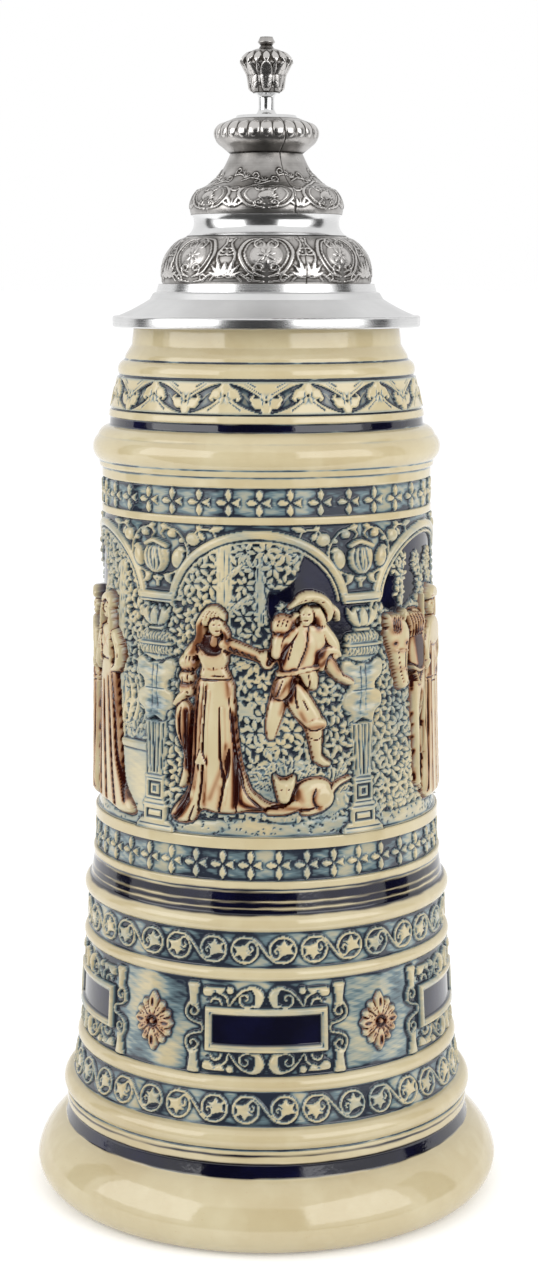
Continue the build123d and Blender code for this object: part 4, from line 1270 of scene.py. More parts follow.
def trailing_figure(wall_sheet, at=(0, 0), mirror=1):
    """A standing figure with plaited hair and a gown that trails to one side."""
    layer = wall_sheet.layer()
    s = layer.moved(at[0], at[1], mirror=mirror)
    gown = [(-5.6, 221), (-8.6, 208), (-10.4, 190), (-12.6, 174), (-19.6, 163.6), (-12, 161.4), (-2, 163.2),
            (7.8, 164.2), (8.2, 172), (7.4, 190), (7, 206), (4.8, 221)]
    s.put(outline(gown), 3.7, 3, 0.5)
    # The pleats carry brown wash and painted shade.
    folds(s, ([(-5.2, 216), (-7.4, 200), (-9.6, 182), (-14.6, 166.4)],
              [(-2.4, 214), (-4.2, 196), (-6, 178), (-8.4, 164.4)],
              [(1.4, 212), (0.8, 194), (-0.4, 178), (-1.4, 165.4)],
              [(4.6, 210), (4.8, 192), (5, 178), (4.2, 166)]), wash_and_shade=0.75)
    torso = [(-6.4, 232.4), (-2.6, 234.8), (2.6, 234.8), (6.2, 232.2), (5.6, 226), (4.6, 220.4),
             (-5.2, 220.4), (-5.8, 226)]
    s.put(outline(torso), 3.8, 2.6, 0.6)
    s.put(oval((-2.8, 227.8), 3, 3.2), 4.2, 2.8, 2.8)
    s.put(oval((2.6, 227.8), 2.9, 3.2), 4.2, 2.8, 2.8)
    s.add(bar((-5.2, 220.6), (4.8, 220.6), 0.35), -0.7, 0.4)
    # Brown wash and painted shade along the gown's edge, under the arms and under the chin.
    for line in ([(-7.2, 219), (-8.6, 208), (-11.6, 186), (-16, 168)], [(-6.2, 226), (-6.8, 220)],
                 [(7, 226), (7.6, 216), (8, 200)], [(-1.6, 237), (2, 237)]):
        s.paint(stroke(line, 0.8), "tint", 0.85, 1)
    s.put(stroke([(-6.2, 231, 2.3), (-9.4, 225, 2.4), (-8.6, 219, 1.9), (-4, 216.4, 1.3)]), 4.2, 1.9, 0.8)
    s.put(stroke([(6, 231, 2.3), (9.4, 225.4, 2.4), (12.6, 220, 1.9), (14.4, 215.4, 1.2)]), 4, 1.9, 0.8)
    for k in range(-1, 2):
        s.add(bar((-9.2 + k * 1.4, 227.6), (-9 + k * 1.2, 222.6), 0.28), -0.8, 0.34)
        s.add(bar((9 + k * 1.4, 227.6), (10.6 + k * 1.2, 222.8), 0.28), -0.8, 0.34)
    s.put(oval((0, 235), 1.6, 2.6), 3, 1.4, 1.6)
    for side in (-1, 1):
        plait = [(side * 3, 242, 1), (side * 4.2, 237.6, 1.1), (side * 4.6, 231.6, 1),
                 (side * 4.2, 225.4, 0.8), (side * 4.8, 219.6, 0.6)]
        s.put(stroke(plait), 4.7, 1, 2.4)
        for k in range(8):
            v = 239.6 - k * 2.4
            s.add(bar((side * 3.4, v), (side * 5.4, v - 1.3), 0.2), -0.5, 0.26)
    small_face(s, (0.2, 240.4))
    s.put(outline([(-4.6, 241), (-4.4, 245.2), (0, 247.2), (4.2, 245.2), (4.4, 241.4), (0.4, 243.4)]), 4.4,
          1.7, 1.8)
    wall_sheet.lay_on(layer)


# ---- the five pictures -------------------------------------------------------------------
def sky(sheet, points):
    """A patch of bare cobalt sky behind the picture."""
    shape = outline(points)
    sheet.level(shape, 0, blend=0.8)
    sheet.paint(shape, "cobalt", 1, 1.2)


def stone(sheet, centre, half_u, half_v, top=1.7):
    """A squared block."""
    sheet.put(block(centre, half_u, half_v, 0.5), top, 0.8, 0.4)


def picture(sheet, index):
    """Draws the picture of one bay behind the arch."""
    rng = np.random.default_rng(40 + index)
    foliage(sheet, rng, ((-HALF_BAY + 2, HALF_BAY - 2), (168, 270)))
    if index == 0:
        trunk(sheet, [(-13.6, 214, 3.2), (-13, 236, 3), (-12.4, 256, 3.2), (-12.8, 272, 3.4)], 1.6)
        trunk(sheet, [(-13.2, 242, 1.1), (-8, 245.6, 1.4), (-3, 249.6, 1)], 1.8)
        trunk(sheet, [(-13.2, 255.4, 1.1), (-9, 258.6, 1.3), (-4.6, 262.4, 0.9)], 1.8)
        trunk(sheet, [(1.4, 240, 1.6), (1, 250, 1.9), (1.2, 264, 1.7)], 1.35)
        sky(sheet, [(4.4, 241), (3.8, 250.4), (7.6, 251.4), (12.4, 254.4), (15.2, 258), (17, 263.6),
                    (21, 267.4), (28.6, 261.4), (34, 251.4), (38, 243), (36.4, 233), (33.4, 228.4),
                    (28, 236), (22, 246), (11, 240)])
        sprig(sheet, rng, (10, 244.6))
        bush(sheet, rng, (11, 176), 14, 13, 70)
        bush(sheet, rng, (28, 174), 9, 9, 30)
        stone(sheet, (-4.2, 206.4), 2.9, 2.1)
        grass(sheet, rng)
        gowned_figure(sheet)
        hatted_figure(sheet)
        dog(sheet)
    elif index == 1:
        sky(sheet, [(-31, 246), (-24, 262), (-12, 269), (0, 270.6), (14, 268), (26, 258), (31, 246),
                    (16, 244), (4, 250), (-10, 246), (-22, 241)])
        for u in (-20, -6, 4, 22):
            trunk(sheet, [(u, 240, 1.2), (u + 1, 252, 1), (u - 0.4, 262, 0.5)], 1.4)
            for k in range(5):
                sprig(sheet, rng, (u + rng.uniform(-2.4, 2.4), 248 + k * 3.2), 0.9)
        grass(sheet, rng)
        horse(sheet)
        cloaked_figure(sheet, (3.6, 0), mirror=-1)
    elif index == 4:
        sky(sheet, [(-20, 222), (-24, 242), (-16, 258), (-4, 266), (4, 256), (0, 238), (-8, 226)])
        trunk(sheet, [(20, 178, 3.4), (20.6, 206, 2.6), (19.4, 232, 2.4), (21, 258, 2.8)], 1.7)
        stone(sheet, (29, 176), 8.4, 12.4, 1.8)
        stone(sheet, (29, 189.6), 10, 1.8, 2.4)
        bush(sheet, rng, (30, 194), 7, 7, 16)
        for k in range(3):
            sheet.put(stroke([(22 + k * 4, 200, 1.4), (24 + k * 4, 207, 1.2), (23 + k * 4, 213, 0.7)]), 1.8,
                      1.2, 0.6)
        grass(sheet, rng)
        trailing_figure(sheet, (11, 0), mirror=-1)
        cloaked_figure(sheet, (-14, -2), staff=False)
    elif index == 2:
        sky(sheet, [(10, 238), (8, 252), (16, 262), (26, 256), (30, 244), (20, 236)])
        trunk(sheet, [(-22, 172, 4), (-20, 204, 3.2), (-22, 236, 3), (-18, 262, 2.8)], 1.8)
        bush(sheet, rng, (4, 174), 12, 9, 30)
        grass(sheet, rng)
        cloaked_figure(sheet, (16, 0))
        dog(sheet, (14, 0), mirror=-1)
    else:
        sky(sheet, [(-14, 240), (-12, 256), (-2, 266), (8, 260), (12, 246), (0, 238)])
        trunk(sheet, [(24, 172, 4), (22, 204, 3.2), (24, 236, 3), (19, 262, 2.8)], 1.8)
        stone(sheet, (24, 182), 9, 2, 2.4)
        stone(sheet, (24, 174), 7, 7, 1.8)
        grass(sheet, rng)
        trailing_figure(sheet, (-17, 0))
        hatted = sheet.moved(-6, 0)
        hatted_figure(hatted)


def draw_arcade(wall):
    for index in range(BAYS):
        rows, columns, sheet = wall.bay(ARCADE, index)
        picture(sheet, index)
        beyond = scene_area().distance(sheet.us[None, :], sheet.vs[:, None])
        inside = np.clip(0.5 - beyond / 0.6, 0, 1)
        for kind in Relief.KINDS:
            getattr(sheet, kind)[:] = getattr(sheet, kind) * inside
        draw_arcade_frame(sheet)
        wall.keep(rows, columns, sheet)


# ---- building meshes ---------------------------------------------------------------------
def shell(name, points, normals, masks, wrapped=True, looped=True, capped=False):
    """A mesh from a grid of points, rows by columns, in mm.  Looped rows close on
    themselves; unwrapped columns are closed with a flat face at each side."""
    rows, columns = points.shape[:2]
    index = np.arange(rows * columns).reshape(rows, columns)
    low = index if looped else index[:-1]
    high = np.roll(index, -1, axis=0) if looped else index[1:]
    here = low if wrapped else low[:, :-1]
    here_up = high if wrapped else high[:, :-1]
    beside = np.roll(low, -1, axis=1) if wrapped else low[:, 1:]
    beside_up = np.roll(high, -1, axis=1) if wrapped else high[:, 1:]
    quads = np.stack([here, beside, beside_up, here_up], axis=-1).reshape(-1, 4)
    rings = []
    if not wrapped:
        rings += [index[:, 0][::-1], index[:, -1]] if looped else []
    if capped:
        rings += [index[0][::-1], index[-1]]
    corners = np.concatenate([quads.ravel()] + rings)
    counts = np.concatenate([np.full(len(quads), 4), [len(ring) for ring in rings]]).astype(np.int32)
    starts = np.concatenate([[0], np.cumsum(counts)[:-1]]).astype(np.int32)

    mesh = bpy.data.meshes.new(name)
    mesh.vertices.add(rows * columns)
    mesh.vertices.foreach_set("co", (points.reshape(-1, 3) * MM).astype(np.float32).ravel())
    mesh.loops.add(len(corners))
    mesh.loops.foreach_set("vertex_index", corners.astype(np.int32))
    mesh.polygons.add(len(counts))
    mesh.polygons.foreach_set("loop_start", starts)
    mesh.update(calc_edges=True)
    mesh.validate()
    mesh.shade_smooth()
    for key, values in masks.items():
        mesh.attributes.new(key, "FLOAT",
                            "POINT").data.foreach_set("value", values.astype(np.float32).ravel())
    if normals is not None:
        mesh.normals_split_custom_set_from_vertices([tuple(n) for n in normals.reshape(-1, 3)])
    made = bpy.data.objects.new(name, mesh)
    bpy.context.collection.objects.link(made)
    return made


def turned_points(radii, heights, angles):
    """Points of a turned surface: radii by row, or by row and column."""
    if radii.ndim == 1:
        radii = np.repeat(radii[:, None], len(angles), axis=1)
    z = np.repeat(heights[:, None], len(angles), axis=1)
    return np.stack([radii * np.sin(angles), -radii * np.cos(angles), z], axis=-1)


def grid_normals(points, wrapped=True):
    """Smooth normals of a grid of points."""
    across = np.roll(points, -1, axis=1) - np.roll(points, 1, axis=1)
    if not wrapped:
        across[:, 0], across[:, -1] = points[:, 1] - points[:, 0], points[:, -1] - points[:, -2]
    along = np.roll(points, -1, axis=0) - np.roll(points, 1, axis=0)
    along[0], along[-1] = points[1] - points[0], points[-1] - points[-2]
    normal = np.cross(across, along)
    return normal / np.maximum(np.linalg.norm(normal, axis=-1, keepdims=True), 1e-9)


def masks_from(wash, brown, cobalt, extra_rows):
    """The painted masks, with clean rows added for the parts that carry none."""
    blank = np.zeros((extra_rows, wash.shape[1]))
    return {"wash": np.vstack([wash, blank]), "brown": np.vstack([brown, blank]),
            "cobalt": np.vstack([cobalt, blank])}


def finish_piece(piece, body, node, slot_name, *materials):
    for material in materials:
        piece.data.materials.append(material)
    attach(piece, body)
    if node:
        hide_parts(node)
    return piece


# ---- the jug -----------------------------------------------------------------------------
def paint_plain_cobalt(wall):
    """The smooth cobalt bands, with edges that wander as brushed ones do."""
    a = wall.angles
    wander = 0.30 * np.sin(a * 7.0) + 0.22 * np.sin(a * 17.0 + 1.0) + 0.12 * np.sin(a * 41.0 + 2.0)
    for low, high in (FOOT_COBALT, FOOT_LINE, *STEPPED_COBALT, SHOULDER_COBALT):
        z = wall.z[:, None]
        inside = np.minimum(z - (low + 0.5 * wander), (high + 0.4 * wander[::-1]) - z)
        wall.cobalt = np.maximum(wall.cobalt, np.clip(inside / 0.5 + 0.5, 0.0, 1.0))


def deepen_vine_hollows(wall):
    """The deepest blue wash stands in the hollows of the neck band."""
    rows = wall.rows(VINE)
    low = np.clip((0.45 - wall.height[rows]) / 0.3, 0.0, 1.0)
    wall.wash[rows] = np.maximum(wall.wash[rows], 1.05 * low)
    wall.cobalt[rows] = np.maximum(wall.cobalt[rows], 0.5 * low)


def drift(wall, seed, waves=9, top=26, tall=0.05):
    """A slow unevenness over the wall, from about -1 to 1, that closes on itself."""
    rng = np.random.default_rng(seed)
    out = np.zeros((len(wall.z), wall.columns))
    for _ in range(waves):
        turns = rng.integers(2, top)
        phase, rise = rng.uniform(0.0, TURN), rng.uniform(-tall, tall) * turns * 0.35
        out += np.sin(wall.angles[None, :] * turns + wall.z[:, None] * rise + phase)
    return out / math.sqrt(waves)


RELIEF_SPANS = (ARCADE, UPPER_CROSSES, LOWER_CROSSES, UPPER_SCROLLS, LOWER_SCROLLS, CARTOUCHES)
GROUND_WASH = (0.12, 0.27, 0.27, 0.32, 0.32, 0.18)      # on the sunk ground of each span
VEIL = (0.15, 0.08, 0.10, 0.10, 0.10, 0.14)             # over the whole of each span
EDGE_REACH = (0.0, 2.0, 2.0, 1.6, 1.6, 1.8)             # how far the wash spreads from its edges
GROUND_TOP = 0.7                                        # mm; what stands higher is not ground
NECK_WASH_TOP = 339.0                                   # mm above the table; no wash higher up


def gathered(sunk, gain, start, most):
    """How much wash gathers where the wall is sunk by so many mm."""
    return np.clip(sunk * gain - start, 0.0, most)


def from_edges(wall, span, reach):
    """1 at a band's two edges, falling to 0 at a distance from them."""
    z = wall.z[wall.rows(span)]
    return np.clip(1.0 - np.minimum(z - span[0], span[1] - z)[:, None] / reach, 0.0, 1.0)


def work_out_wash(wall):
    """Blue wash gathers in whatever is sunk; brown does so on the figures, where it also stands for painted
    shade.
    """
    total = wall.radius[:, None] + wall.height
    fine, near, wide = (blurred(total, reach, reach) - total for reach in (1, 2.5, 7))
    broad = drift(wall, 3)
    small = drift(wall, 8, 14, 90, 0.4)
    sunk = gathered(fine, 3.6, 0.04, 1.0) + gathered(near, 1.2, 0.04, 0.8) + gathered(wide, 0.26, 0.0, 0.4)
    ground = np.zeros_like(total)
    for span, amount, veil, reach in zip(RELIEF_SPANS, GROUND_WASH, VEIL, EDGE_REACH):
        rows = wall.rows(span)
        low = np.clip(1.0 - wall.height[rows] / GROUND_TOP, 0.0, 1.0)
        ground[rows] = low * np.clip(amount + 0.20 * broad[rows] + 0.10 * small[rows], 0.0, 0.9)
        if reach:
            ground[rows] += low * from_edges(wall, span, reach) * np.clip(0.40 + 0.30 * broad[rows], 0.0,
                    0.9)
        ground[rows] += np.clip(veil + 0.12 * broad[rows] + 0.07 * small[rows], 0.0, 0.5)
        if span in (UPPER_CROSSES, LOWER_CROSSES):
            sunk[rows] *= 0.72
            ground[rows] += 0.14 * low
    figure = np.clip(blurred(wall.brown, 1, 1) * 1.8 - 0.35, 0.0, 1.0)
    tint = blurred(wall.tint, 1, 1)
    blue = sunk * (0.92 + 0.18 * broad) + ground + tint * (1.0 + 0.5 * small)
    wall.wash = np.clip(blue, 0.0, 1.25) * (1.0 - figure)
    # On the figures brown wash gathers in what is sunk, and also stands for painted shade there; the drawn
    # tint adds its own brown wash and painted shade.
    shade = gathered(fine, 3.2, 0.03, 1.1) + gathered(near, 1.5, 0.05, 0.9) + gathered(wide, 0.7, 0.1, 0.5)
    wall.brown = np.clip(0.02 + 0.04 * broad + shade + 0.8 * tint, 0.0, 1.2) * figure
    plain = np.ones(len(wall.z), bool)
    for span in RELIEF_SPANS + (VINE,):
        plain[wall.rows(span)] = False
    roots = gathered(fine[plain], 9.0, 0.35, 1.0) + gathered(near[plain], 2.2, 0.35, 0.8)
    wall.wash[plain] = np.clip(roots * (0.95 + 0.45 * broad[plain] + 0.25 * small[plain]), 0.0, 1.15)
    rows = wall.rows(VINE)
    wall.wash[rows] = np.clip(wall.wash[rows] * 1.8 + 0.5 * from_edges(wall, VINE, 1.3), 0.0, 1.1)
    wall.wash[plain & (wall.z > SHOULDER_COBALT[1])] *= 2.2
    wall.wash[(wall.z < FOOT_COBALT[0]) | (wall.z > NECK_WASH_TOP)] = 0.0


def inner_outline(low, high, step):
    """The jug's inner wall between two heights, from the top down."""
    heights = np.linspace(high, low, max(2, int((high - low) / step) + 1))
    return wall_radius("stoneware_jug", heights, from_outside=False), heights


def ring_of_jug(name, wall, surface, normals, low, high, glaze):
    """One ring of the jug's wall, from its outer face through to its inner one."""
    rows = np.nonzero((wall.z >= low - 1e-6) & (wall.z <= high + 1e-6))[0]
    rows = np.arange(rows[0] - 1 if rows[0] else 0, rows[-1] + 1)
    inner_r, inner_z = inner_outline(wall.z[rows[0]], wall.z[rows[-1]], 8.0)
    inside = turned_points(inner_r, inner_z, wall.angles)
    points = np.concatenate([surface[rows], inside])
    inside_normals = grid_normals(inside)
    piece = shell(name, points, np.concatenate([normals[rows], inside_normals]),
                  masks_from(wall.wash[rows], wall.brown[rows], wall.cobalt[rows], len(inside)))
    return finish_piece(piece, "stein", "stoneware_jug", "glazed_stoneware", glaze)


def jug_panels(wall, surface, normals, low, high, glaze):
    """The arcade's five bays, each a bent slab of the wall."""
    rows = np.nonzero((wall.z >= low - 1e-6) & (wall.z <= high + 1e-6))[0]
    rows = np.arange(rows[0] - 1, rows[-1] + 1)
    inner_r, inner_z = inner_outline(wall.z[rows[0]], wall.z[rows[-1]], 12.0)
    width = COLUMNS // BAYS
    for index in range(BAYS):
        columns = (np.arange(width + 1) + index * width + SCENE_COLUMNS) % COLUMNS
        part = np.ix_(rows, columns)
        inside = turned_points(inner_r, inner_z, wall.angles[columns])
        points = np.concatenate([surface[part], inside])
        inside_normals = grid_normals(inside, wrapped=False)
        piece = shell(f"arcade_bay_{index + 1}", points, np.concatenate([normals[part], inside_normals]),
                      masks_from(wall.wash[part], wall.brown[part], wall.cobalt[part], len(inside)),
                      wrapped=False)
        finish_piece(piece, "stein", "stoneware_jug", "glazed_stoneware", glaze)


def jug_foot(wall, surface, normals, high, glaze, clay):
    """The foot with its bare ring, the underside and the floor of the jug."""
    rows = np.arange(0, np.nonzero(wall.z <= high + 1e-6)[0][-1] + 1)
    under = np.array([(1.0, 3.0), (35.0, 3.0), (66.0, 3.0), (69.5, 3.0), (71.2, 1.2), (72.0, 0.1),
                      (74.0, 0.0), (80.0, 0.0), (84.0, 0.0)])
    sides = np.linspace(wall.z[rows[-1]], 24.0, 6)
    side_r = wall_radius("stoneware_jug", sides, from_outside=False)
    bend = np.array([(68.2, 20.5), (65.2, 16.6), (61.0, 14.0), (56.0, 13.0), (28.0, 13.0), (1.0, 13.0)])
    below = turned_points(under[:, 0], under[:, 1], wall.angles)
    above = turned_points(np.concatenate([side_r, bend[:, 0]]), np.concatenate([sides, bend[:, 1]]),
                          wall.angles)
    points = np.concatenate([below, surface[rows], above])
    smooth = np.concatenate([grid_normals(below), normals[rows], grid_normals(above)])
    bare = np.zeros((len(below), COLUMNS))
    masks = masks_from(wall.wash[rows], wall.brown[rows], wall.cobalt[rows], len(above))
    masks = {key: np.vstack([bare, values]) for key, values in masks.items()}
    piece = shell("jug_foot", points, smooth, masks, looped=False, capped=True)
    finish_piece(piece, "stein", "stoneware_jug", "glazed_stoneware", glaze, clay)
    which = np.zeros(len(piece.data.polygons), np.int32)
    which[:(len(below)) * COLUMNS] = 1
    which[-2] = 1
    piece.data.polygons.foreach_set("material_index", which)


def jug_neck(wall, surface, normals, low, glaze):
    """The neck: its outer face, the lip and the inner face."""
    rows = np.arange(np.nonzero(wall.z <= low)[0][-1], len(wall.z))
    lip = np.array([(50.3, 350.0), (48.6, 350.0), (47.6, 349.6), (46.8, 348.8), (46.42, 347.8)])
    inner_r, inner_z = inner_outline(wall.z[rows[0]], 346.5, 4.0)
    radii = np.concatenate([lip[:, 0], inner_r])
    heights = np.concatenate([lip[:, 1], inner_z])
    inside = turned_points(radii, heights, wall.angles)
    points = np.concatenate([surface[rows], inside])
    smooth = grid_normals(points)
    smooth[:len(rows) - 3] = normals[rows[:-3]]
    piece = shell("jug_neck", points, smooth,
                  masks_from(wall.wash[rows], wall.brown[rows], wall.cobalt[rows], len(inside)))
    finish_piece(piece, "stein", "stoneware_jug", "glazed_stoneware", glaze)


JUG_RINGS = (("lower_scroll_ring", 33.4, 66.3), ("cartouche_ring", 66.3, 107.6),
             ("upper_scroll_ring", 107.6, 140.8))
PANEL_SPAN = (140.8, 294.0)
SHOULDER_SPAN = (294.0, 315.0)


def make_jug(glaze, clay):
    wall = Wall("stoneware_jug", ((0.3, FOOT_COBALT[0] - 2.0, PLAIN_STEP),
                                  (FOOT_COBALT[0] - 2.0, 349.9, ROW_STEP)), COLUMNS)
    draw_bands(wall)
    draw_cartouches(wall)
    draw_arcade(wall)
    paint_plain_cobalt(wall)
    deepen_vine_hollows(wall)
    work_out_wash(wall)
    surface = turned_points(wall.radius[:, None] + wall.height, wall.z, wall.angles)
    normals = grid_normals(surface)
    jug_foot(wall, surface, normals, JUG_RINGS[0][1], glaze, clay)
    for name, low, high in JUG_RINGS:
        ring_of_jug(name, wall, surface, normals, low, high, glaze)
    jug_panels(wall, surface, normals, *PANEL_SPAN, glaze)
    ring_of_jug("shoulder_ring", wall, surface, normals, *SHOULDER_SPAN, glaze)
    jug_neck(wall, surface, normals, SHOULDER_SPAN[1], glaze)


# ---- the cast tiers of the lid -----------------------------------------------------------
SEAM_AT = 21.5                  # the casting seam, in degrees from the front


def curl_pair(cell, half_u, half_v, width, top):
    """Two C-scrolls that face each other and frame an oval."""
    for side in (-1, 1):
        c = cell.moved(0, 0, mirror=side)
        c.put(stroke([(half_u * 0.14, half_v, width * 0.6), (half_u * 0.72, half_v * 0.86, width),
                      (half_u, half_v * 0.10, width * 1.2), (half_u * 0.66, -half_v * 0.74, width),
                      (half_u * 0.10, -half_v * 0.98, width * 0.6)]), top, width, 0.1)
        c.put(spiral((half_u * 0.22, half_v * 0.62), half_v * 0.34, 1.1, 80, width * 0.7, True), top,
              width * 0.8, 0.1)
        c.put(spiral((half_u * 0.26, -half_v * 0.62), half_v * 0.28, 1, -80, width * 0.6), top, width * 0.7,
              0.1)


def spray(cell, at, reach, blades, lean=0, top=0.55):
    """A fan of narrow leaves from one root."""
    for k in range(blades):
        angle = math.radians(90 + lean + (k - (blades - 1) / 2) * 130 / blades)
        long = reach * (1 - 0.10 * abs(k - (blades - 1) / 2))
        tip = (at[0] + long * math.cos(angle), at[1] + long * math.sin(angle))
        cell.put(leaf(at, tip, reach * 0.10), top, reach * 0.08, 0.1)
        cell.add(bar(at, (at[0] * 0.3 + tip[0] * 0.7, at[1] * 0.3 + tip[1] * 0.7), 0.12), -0.2, 0.16)


def lower_tier_cell(cell, pitch):
    """A rococo cartouche with a blossom in it, and leaf sprays on both sides."""
    shifted = cell.moved(0, -0.2)
    curl_pair(shifted, pitch * 0.33, 8.6, 0.50, 0.42)
    curl_pair(shifted.moved(0, 0.2), pitch * 0.27, 7, 0.24, 0.30)
    shifted.put(oval((0, 0), pitch * 0.20, 5.2), 0.22, 3, 0)
    for k in range(7):
        a = TURN * k / 7 + 0.3
        shifted.put(leaf((0.6 * math.cos(a), 0.6 * math.sin(a)), (3.8 * math.cos(a), 3.6 * math.sin(a)),
                         0.62), 0.46, 0.4, 0.1)
    shifted.put(oval((0, 0), 0.9, 0.9), 0.55, 0.7, 0.2)
    for side in (-1, 1):
        half = cell.moved(0, 0, mirror=side)
        spray(half, (pitch * 0.46, -9.2), 7.4, 5, 14, 0.4)
        spray(half, (pitch * 0.36, 9.6), -5, 4, 24, 0.36)
        half.put(stroke([(pitch * 0.30, -10.2, 0.3), (pitch * 0.40, -6.4, 0.35), (pitch * 0.39, 0, 0.4),
                         (pitch * 0.46, 5, 0.35), (pitch * 0.43, 9, 0.25)]), 0.38, 0.3, 0.1)
        half.put(spiral((pitch * 0.46, 1.6), 2.2, 1.2, 200, 0.34), 0.38, 0.3, 0.1)
        half.put(spiral((pitch * 0.20, -9.4), 1.7, 1.1, 20, 0.3), 0.34, 0.3, 0.1)
        half.put(stroke([(1, -10.6, 0.25), (6, -9.8, 0.35), (9, -7.8, 0.35), (12, -8.2, 0.25)]), 0.34, 0.3,
                 0.1)
        half.put(oval((pitch * 0.49, 7), 0.6, 0.8), 0.4, 0.5, 0.1)


def upper_tier_cell(cell, pitch):
    """A leaning oval scroll below, and sprigs that climb the narrow neck above it."""
    low = cell.moved(0, -7.6)
    curl_pair(low, pitch * 0.42, 5.4, 0.42, 0.36)
    curl_pair(low, pitch * 0.32, 4, 0.22, 0.26)
    low.put(oval((0, 0), 2.6, 1.7, 24), 0.3, 1.4, 0)
    spray(low, (0.8, -1.6), 3.6, 5, -24, 0.4)
    for side in (-1, 1):
        half = low.moved(0, 0, mirror=side)
        spray(half, (pitch * 0.49, -5), 5.4, 4, 6, 0.34)
        half.put(spiral((pitch * 0.49, 3), 1.6, 1.1, 90, 0.3), 0.34, 0.3, 0.1)
    for shift, lift, lean in ((0, 0.6, 1), (pitch * 0.48, 4.6, -1), (-pitch * 0.40, 2.6, 1)):
        high = cell.moved(shift, lift, mirror=lean)
        high.put(stroke([(-5.6, -2.6, 0.3), (-2, -1, 0.4), (1.4, 0.8, 0.4), (4.6, 0.2, 0.28)]), 0.36, 0.3,
                 0.1)
        high.put(spiral((3.2, 2.2), 1.9, 1.1, -70, 0.32), 0.36, 0.28, 0.1)
        high.put(spiral((-3.8, 0.6), 1.7, 1, 100, 0.3, True), 0.34, 0.26, 0.1)
        spray(high, (-0.6, 0.6), 3, 4, 12, 0.34)


def gadroon_cell(cell, pitch):
    """One fat flute, rounded across, that dies out above and below."""
    cell.put(oval((0, 1.2), pitch * 0.46, 4.2), 0.5, pitch * 0.44, -0.1)
    cell.add(bar((pitch * 0.5, -2.6), (pitch * 0.5, 4.6), 0.16), -0.25, 0.25)
    cell.add(bar((-pitch * 0.5, -2.6), (-pitch * 0.5, 4.6), 0.16), -0.25, 0.25)


def urn_cell(cell, pitch):
    """A hanging leaf with ribs, under the ragged edge of the cover."""
    cell.put(leaf((0, 3.4), (0, -11.6), pitch * 0.46), 0.75, pitch * 0.34, 0)
    cell.add(bar((0, 2), (0, -9.6), 0.16), -0.16, 0.2)
    for side in (-1, 1):
        for k in range(4):
            v = 1 - k * 2.6
            cell.add(bar((0, v), (side * pitch * 0.34, v + 1.3), 0.12), -0.14, 0.18)
        cell.put(leaf((side * pitch * 0.5, 2.2), (side * pitch * 0.5, -7), pitch * 0.16), 0.4, 0.4, 0)
    for side in (-0.5, 0, 0.5):
        cell.put(leaf((side * pitch, 7.6), (side * pitch * 1.04, 1.6), pitch * 0.20), 1, 0.4, 0.2)


def cast_tier(name, node, low, high, step, columns, cells, material, seam=True, flat_ends=False):
    """A turned part of the lid with cast relief on it.  Each cell is (span, count, drawing)."""
    wall = Wall(node, ((low + 0.02, high - 0.02, step),), columns)
    for span, count, draw in cells:
        wall.repeat(span, count, draw, along_wall=True)
    fade = np.clip(np.minimum(wall.arc, wall.arc[-1] - wall.arc) / 0.9, 0.0, 1.0)[:, None]
    wall.height *= fade
    if seam:
        away = np.abs(wall.angles - math.radians(SEAM_AT))[None, :] * wall.radius[:, None]
        wall.height -= 0.45 * np.clip(1.0 - away / 0.22, 0.0, 1.0)
    total = wall.radius[:, None] + wall.height
    sunk = np.clip((blurred(total, 1, 1) - total) * 9.0, 0.0,
                   1.0) + np.clip((blurred(total, 3, 3) - total) * 4.5, 0.0, 1.0)
    ground = 0.30 * np.clip(1.0 - wall.height / 0.2, 0.0, 1.0)
    wash = np.clip(sunk * 0.6 + ground * fade, 0.0, 1.1)
    surface = turned_points(wall.radius[:, None] + wall.height, wall.z, wall.angles)
    normals = grid_normals(surface)
    if flat_ends:
        piece = shell(name, surface, normals, {"wash": wash}, looped=False, capped=True)
    else:
        heights = np.linspace(high - 0.2, low + 0.2, 14)
        radii = wall_radius(node, heights, from_outside=False)
        keep = ~np.isnan(radii) & (radii < np.interp(heights, wall.z, wall.radius) - 0.2)
        inside = turned_points(radii[keep], heights[keep], wall.angles)
        points = np.concatenate([surface, inside])
        piece = shell(name, points, np.concatenate([normals, grid_normals(inside)]),
                      {"wash": np.vstack([wash, np.full((len(inside), columns), 0.3)])})
    return finish_piece(piece, "lid", node, "antiqued_pewter", material)


def make_lid(cast):
    cast_tier("lower_tier_relief", "lower_embossed_band", 365.0, 383.5, 0.27, 640,
              (((365.4, 383.3), 8, lower_tier_cell),), cast)
    cast_tier("upper_tier_relief", "upper_embossed_bell", 391.6, 415.2, 0.27, 560,
              (((391.9, 414.6), 7, upper_tier_cell),), cast)
    cast_tier("gadrooned_knop", "crown_knop", 415.2, 428.4, 0.25, 480,
              (((417.6, 427.6), 26, gadroon_cell),), cast)
    cast_tier("leafy_urn", "finial_urn", 438.2, 459.4, 0.22, 240, (((438.6, 454.6), 8, urn_cell),), cast,
              seam=False, flat_ends=True)


# ---- the thumblift -----------------------------------------------------------------------
THUMB_FRONT_Y, THUMB_BACK_Y = 57.0, 61.5
THUMB_FOOT_Z, THUMB_TIP_Z = 352.4, 389.0


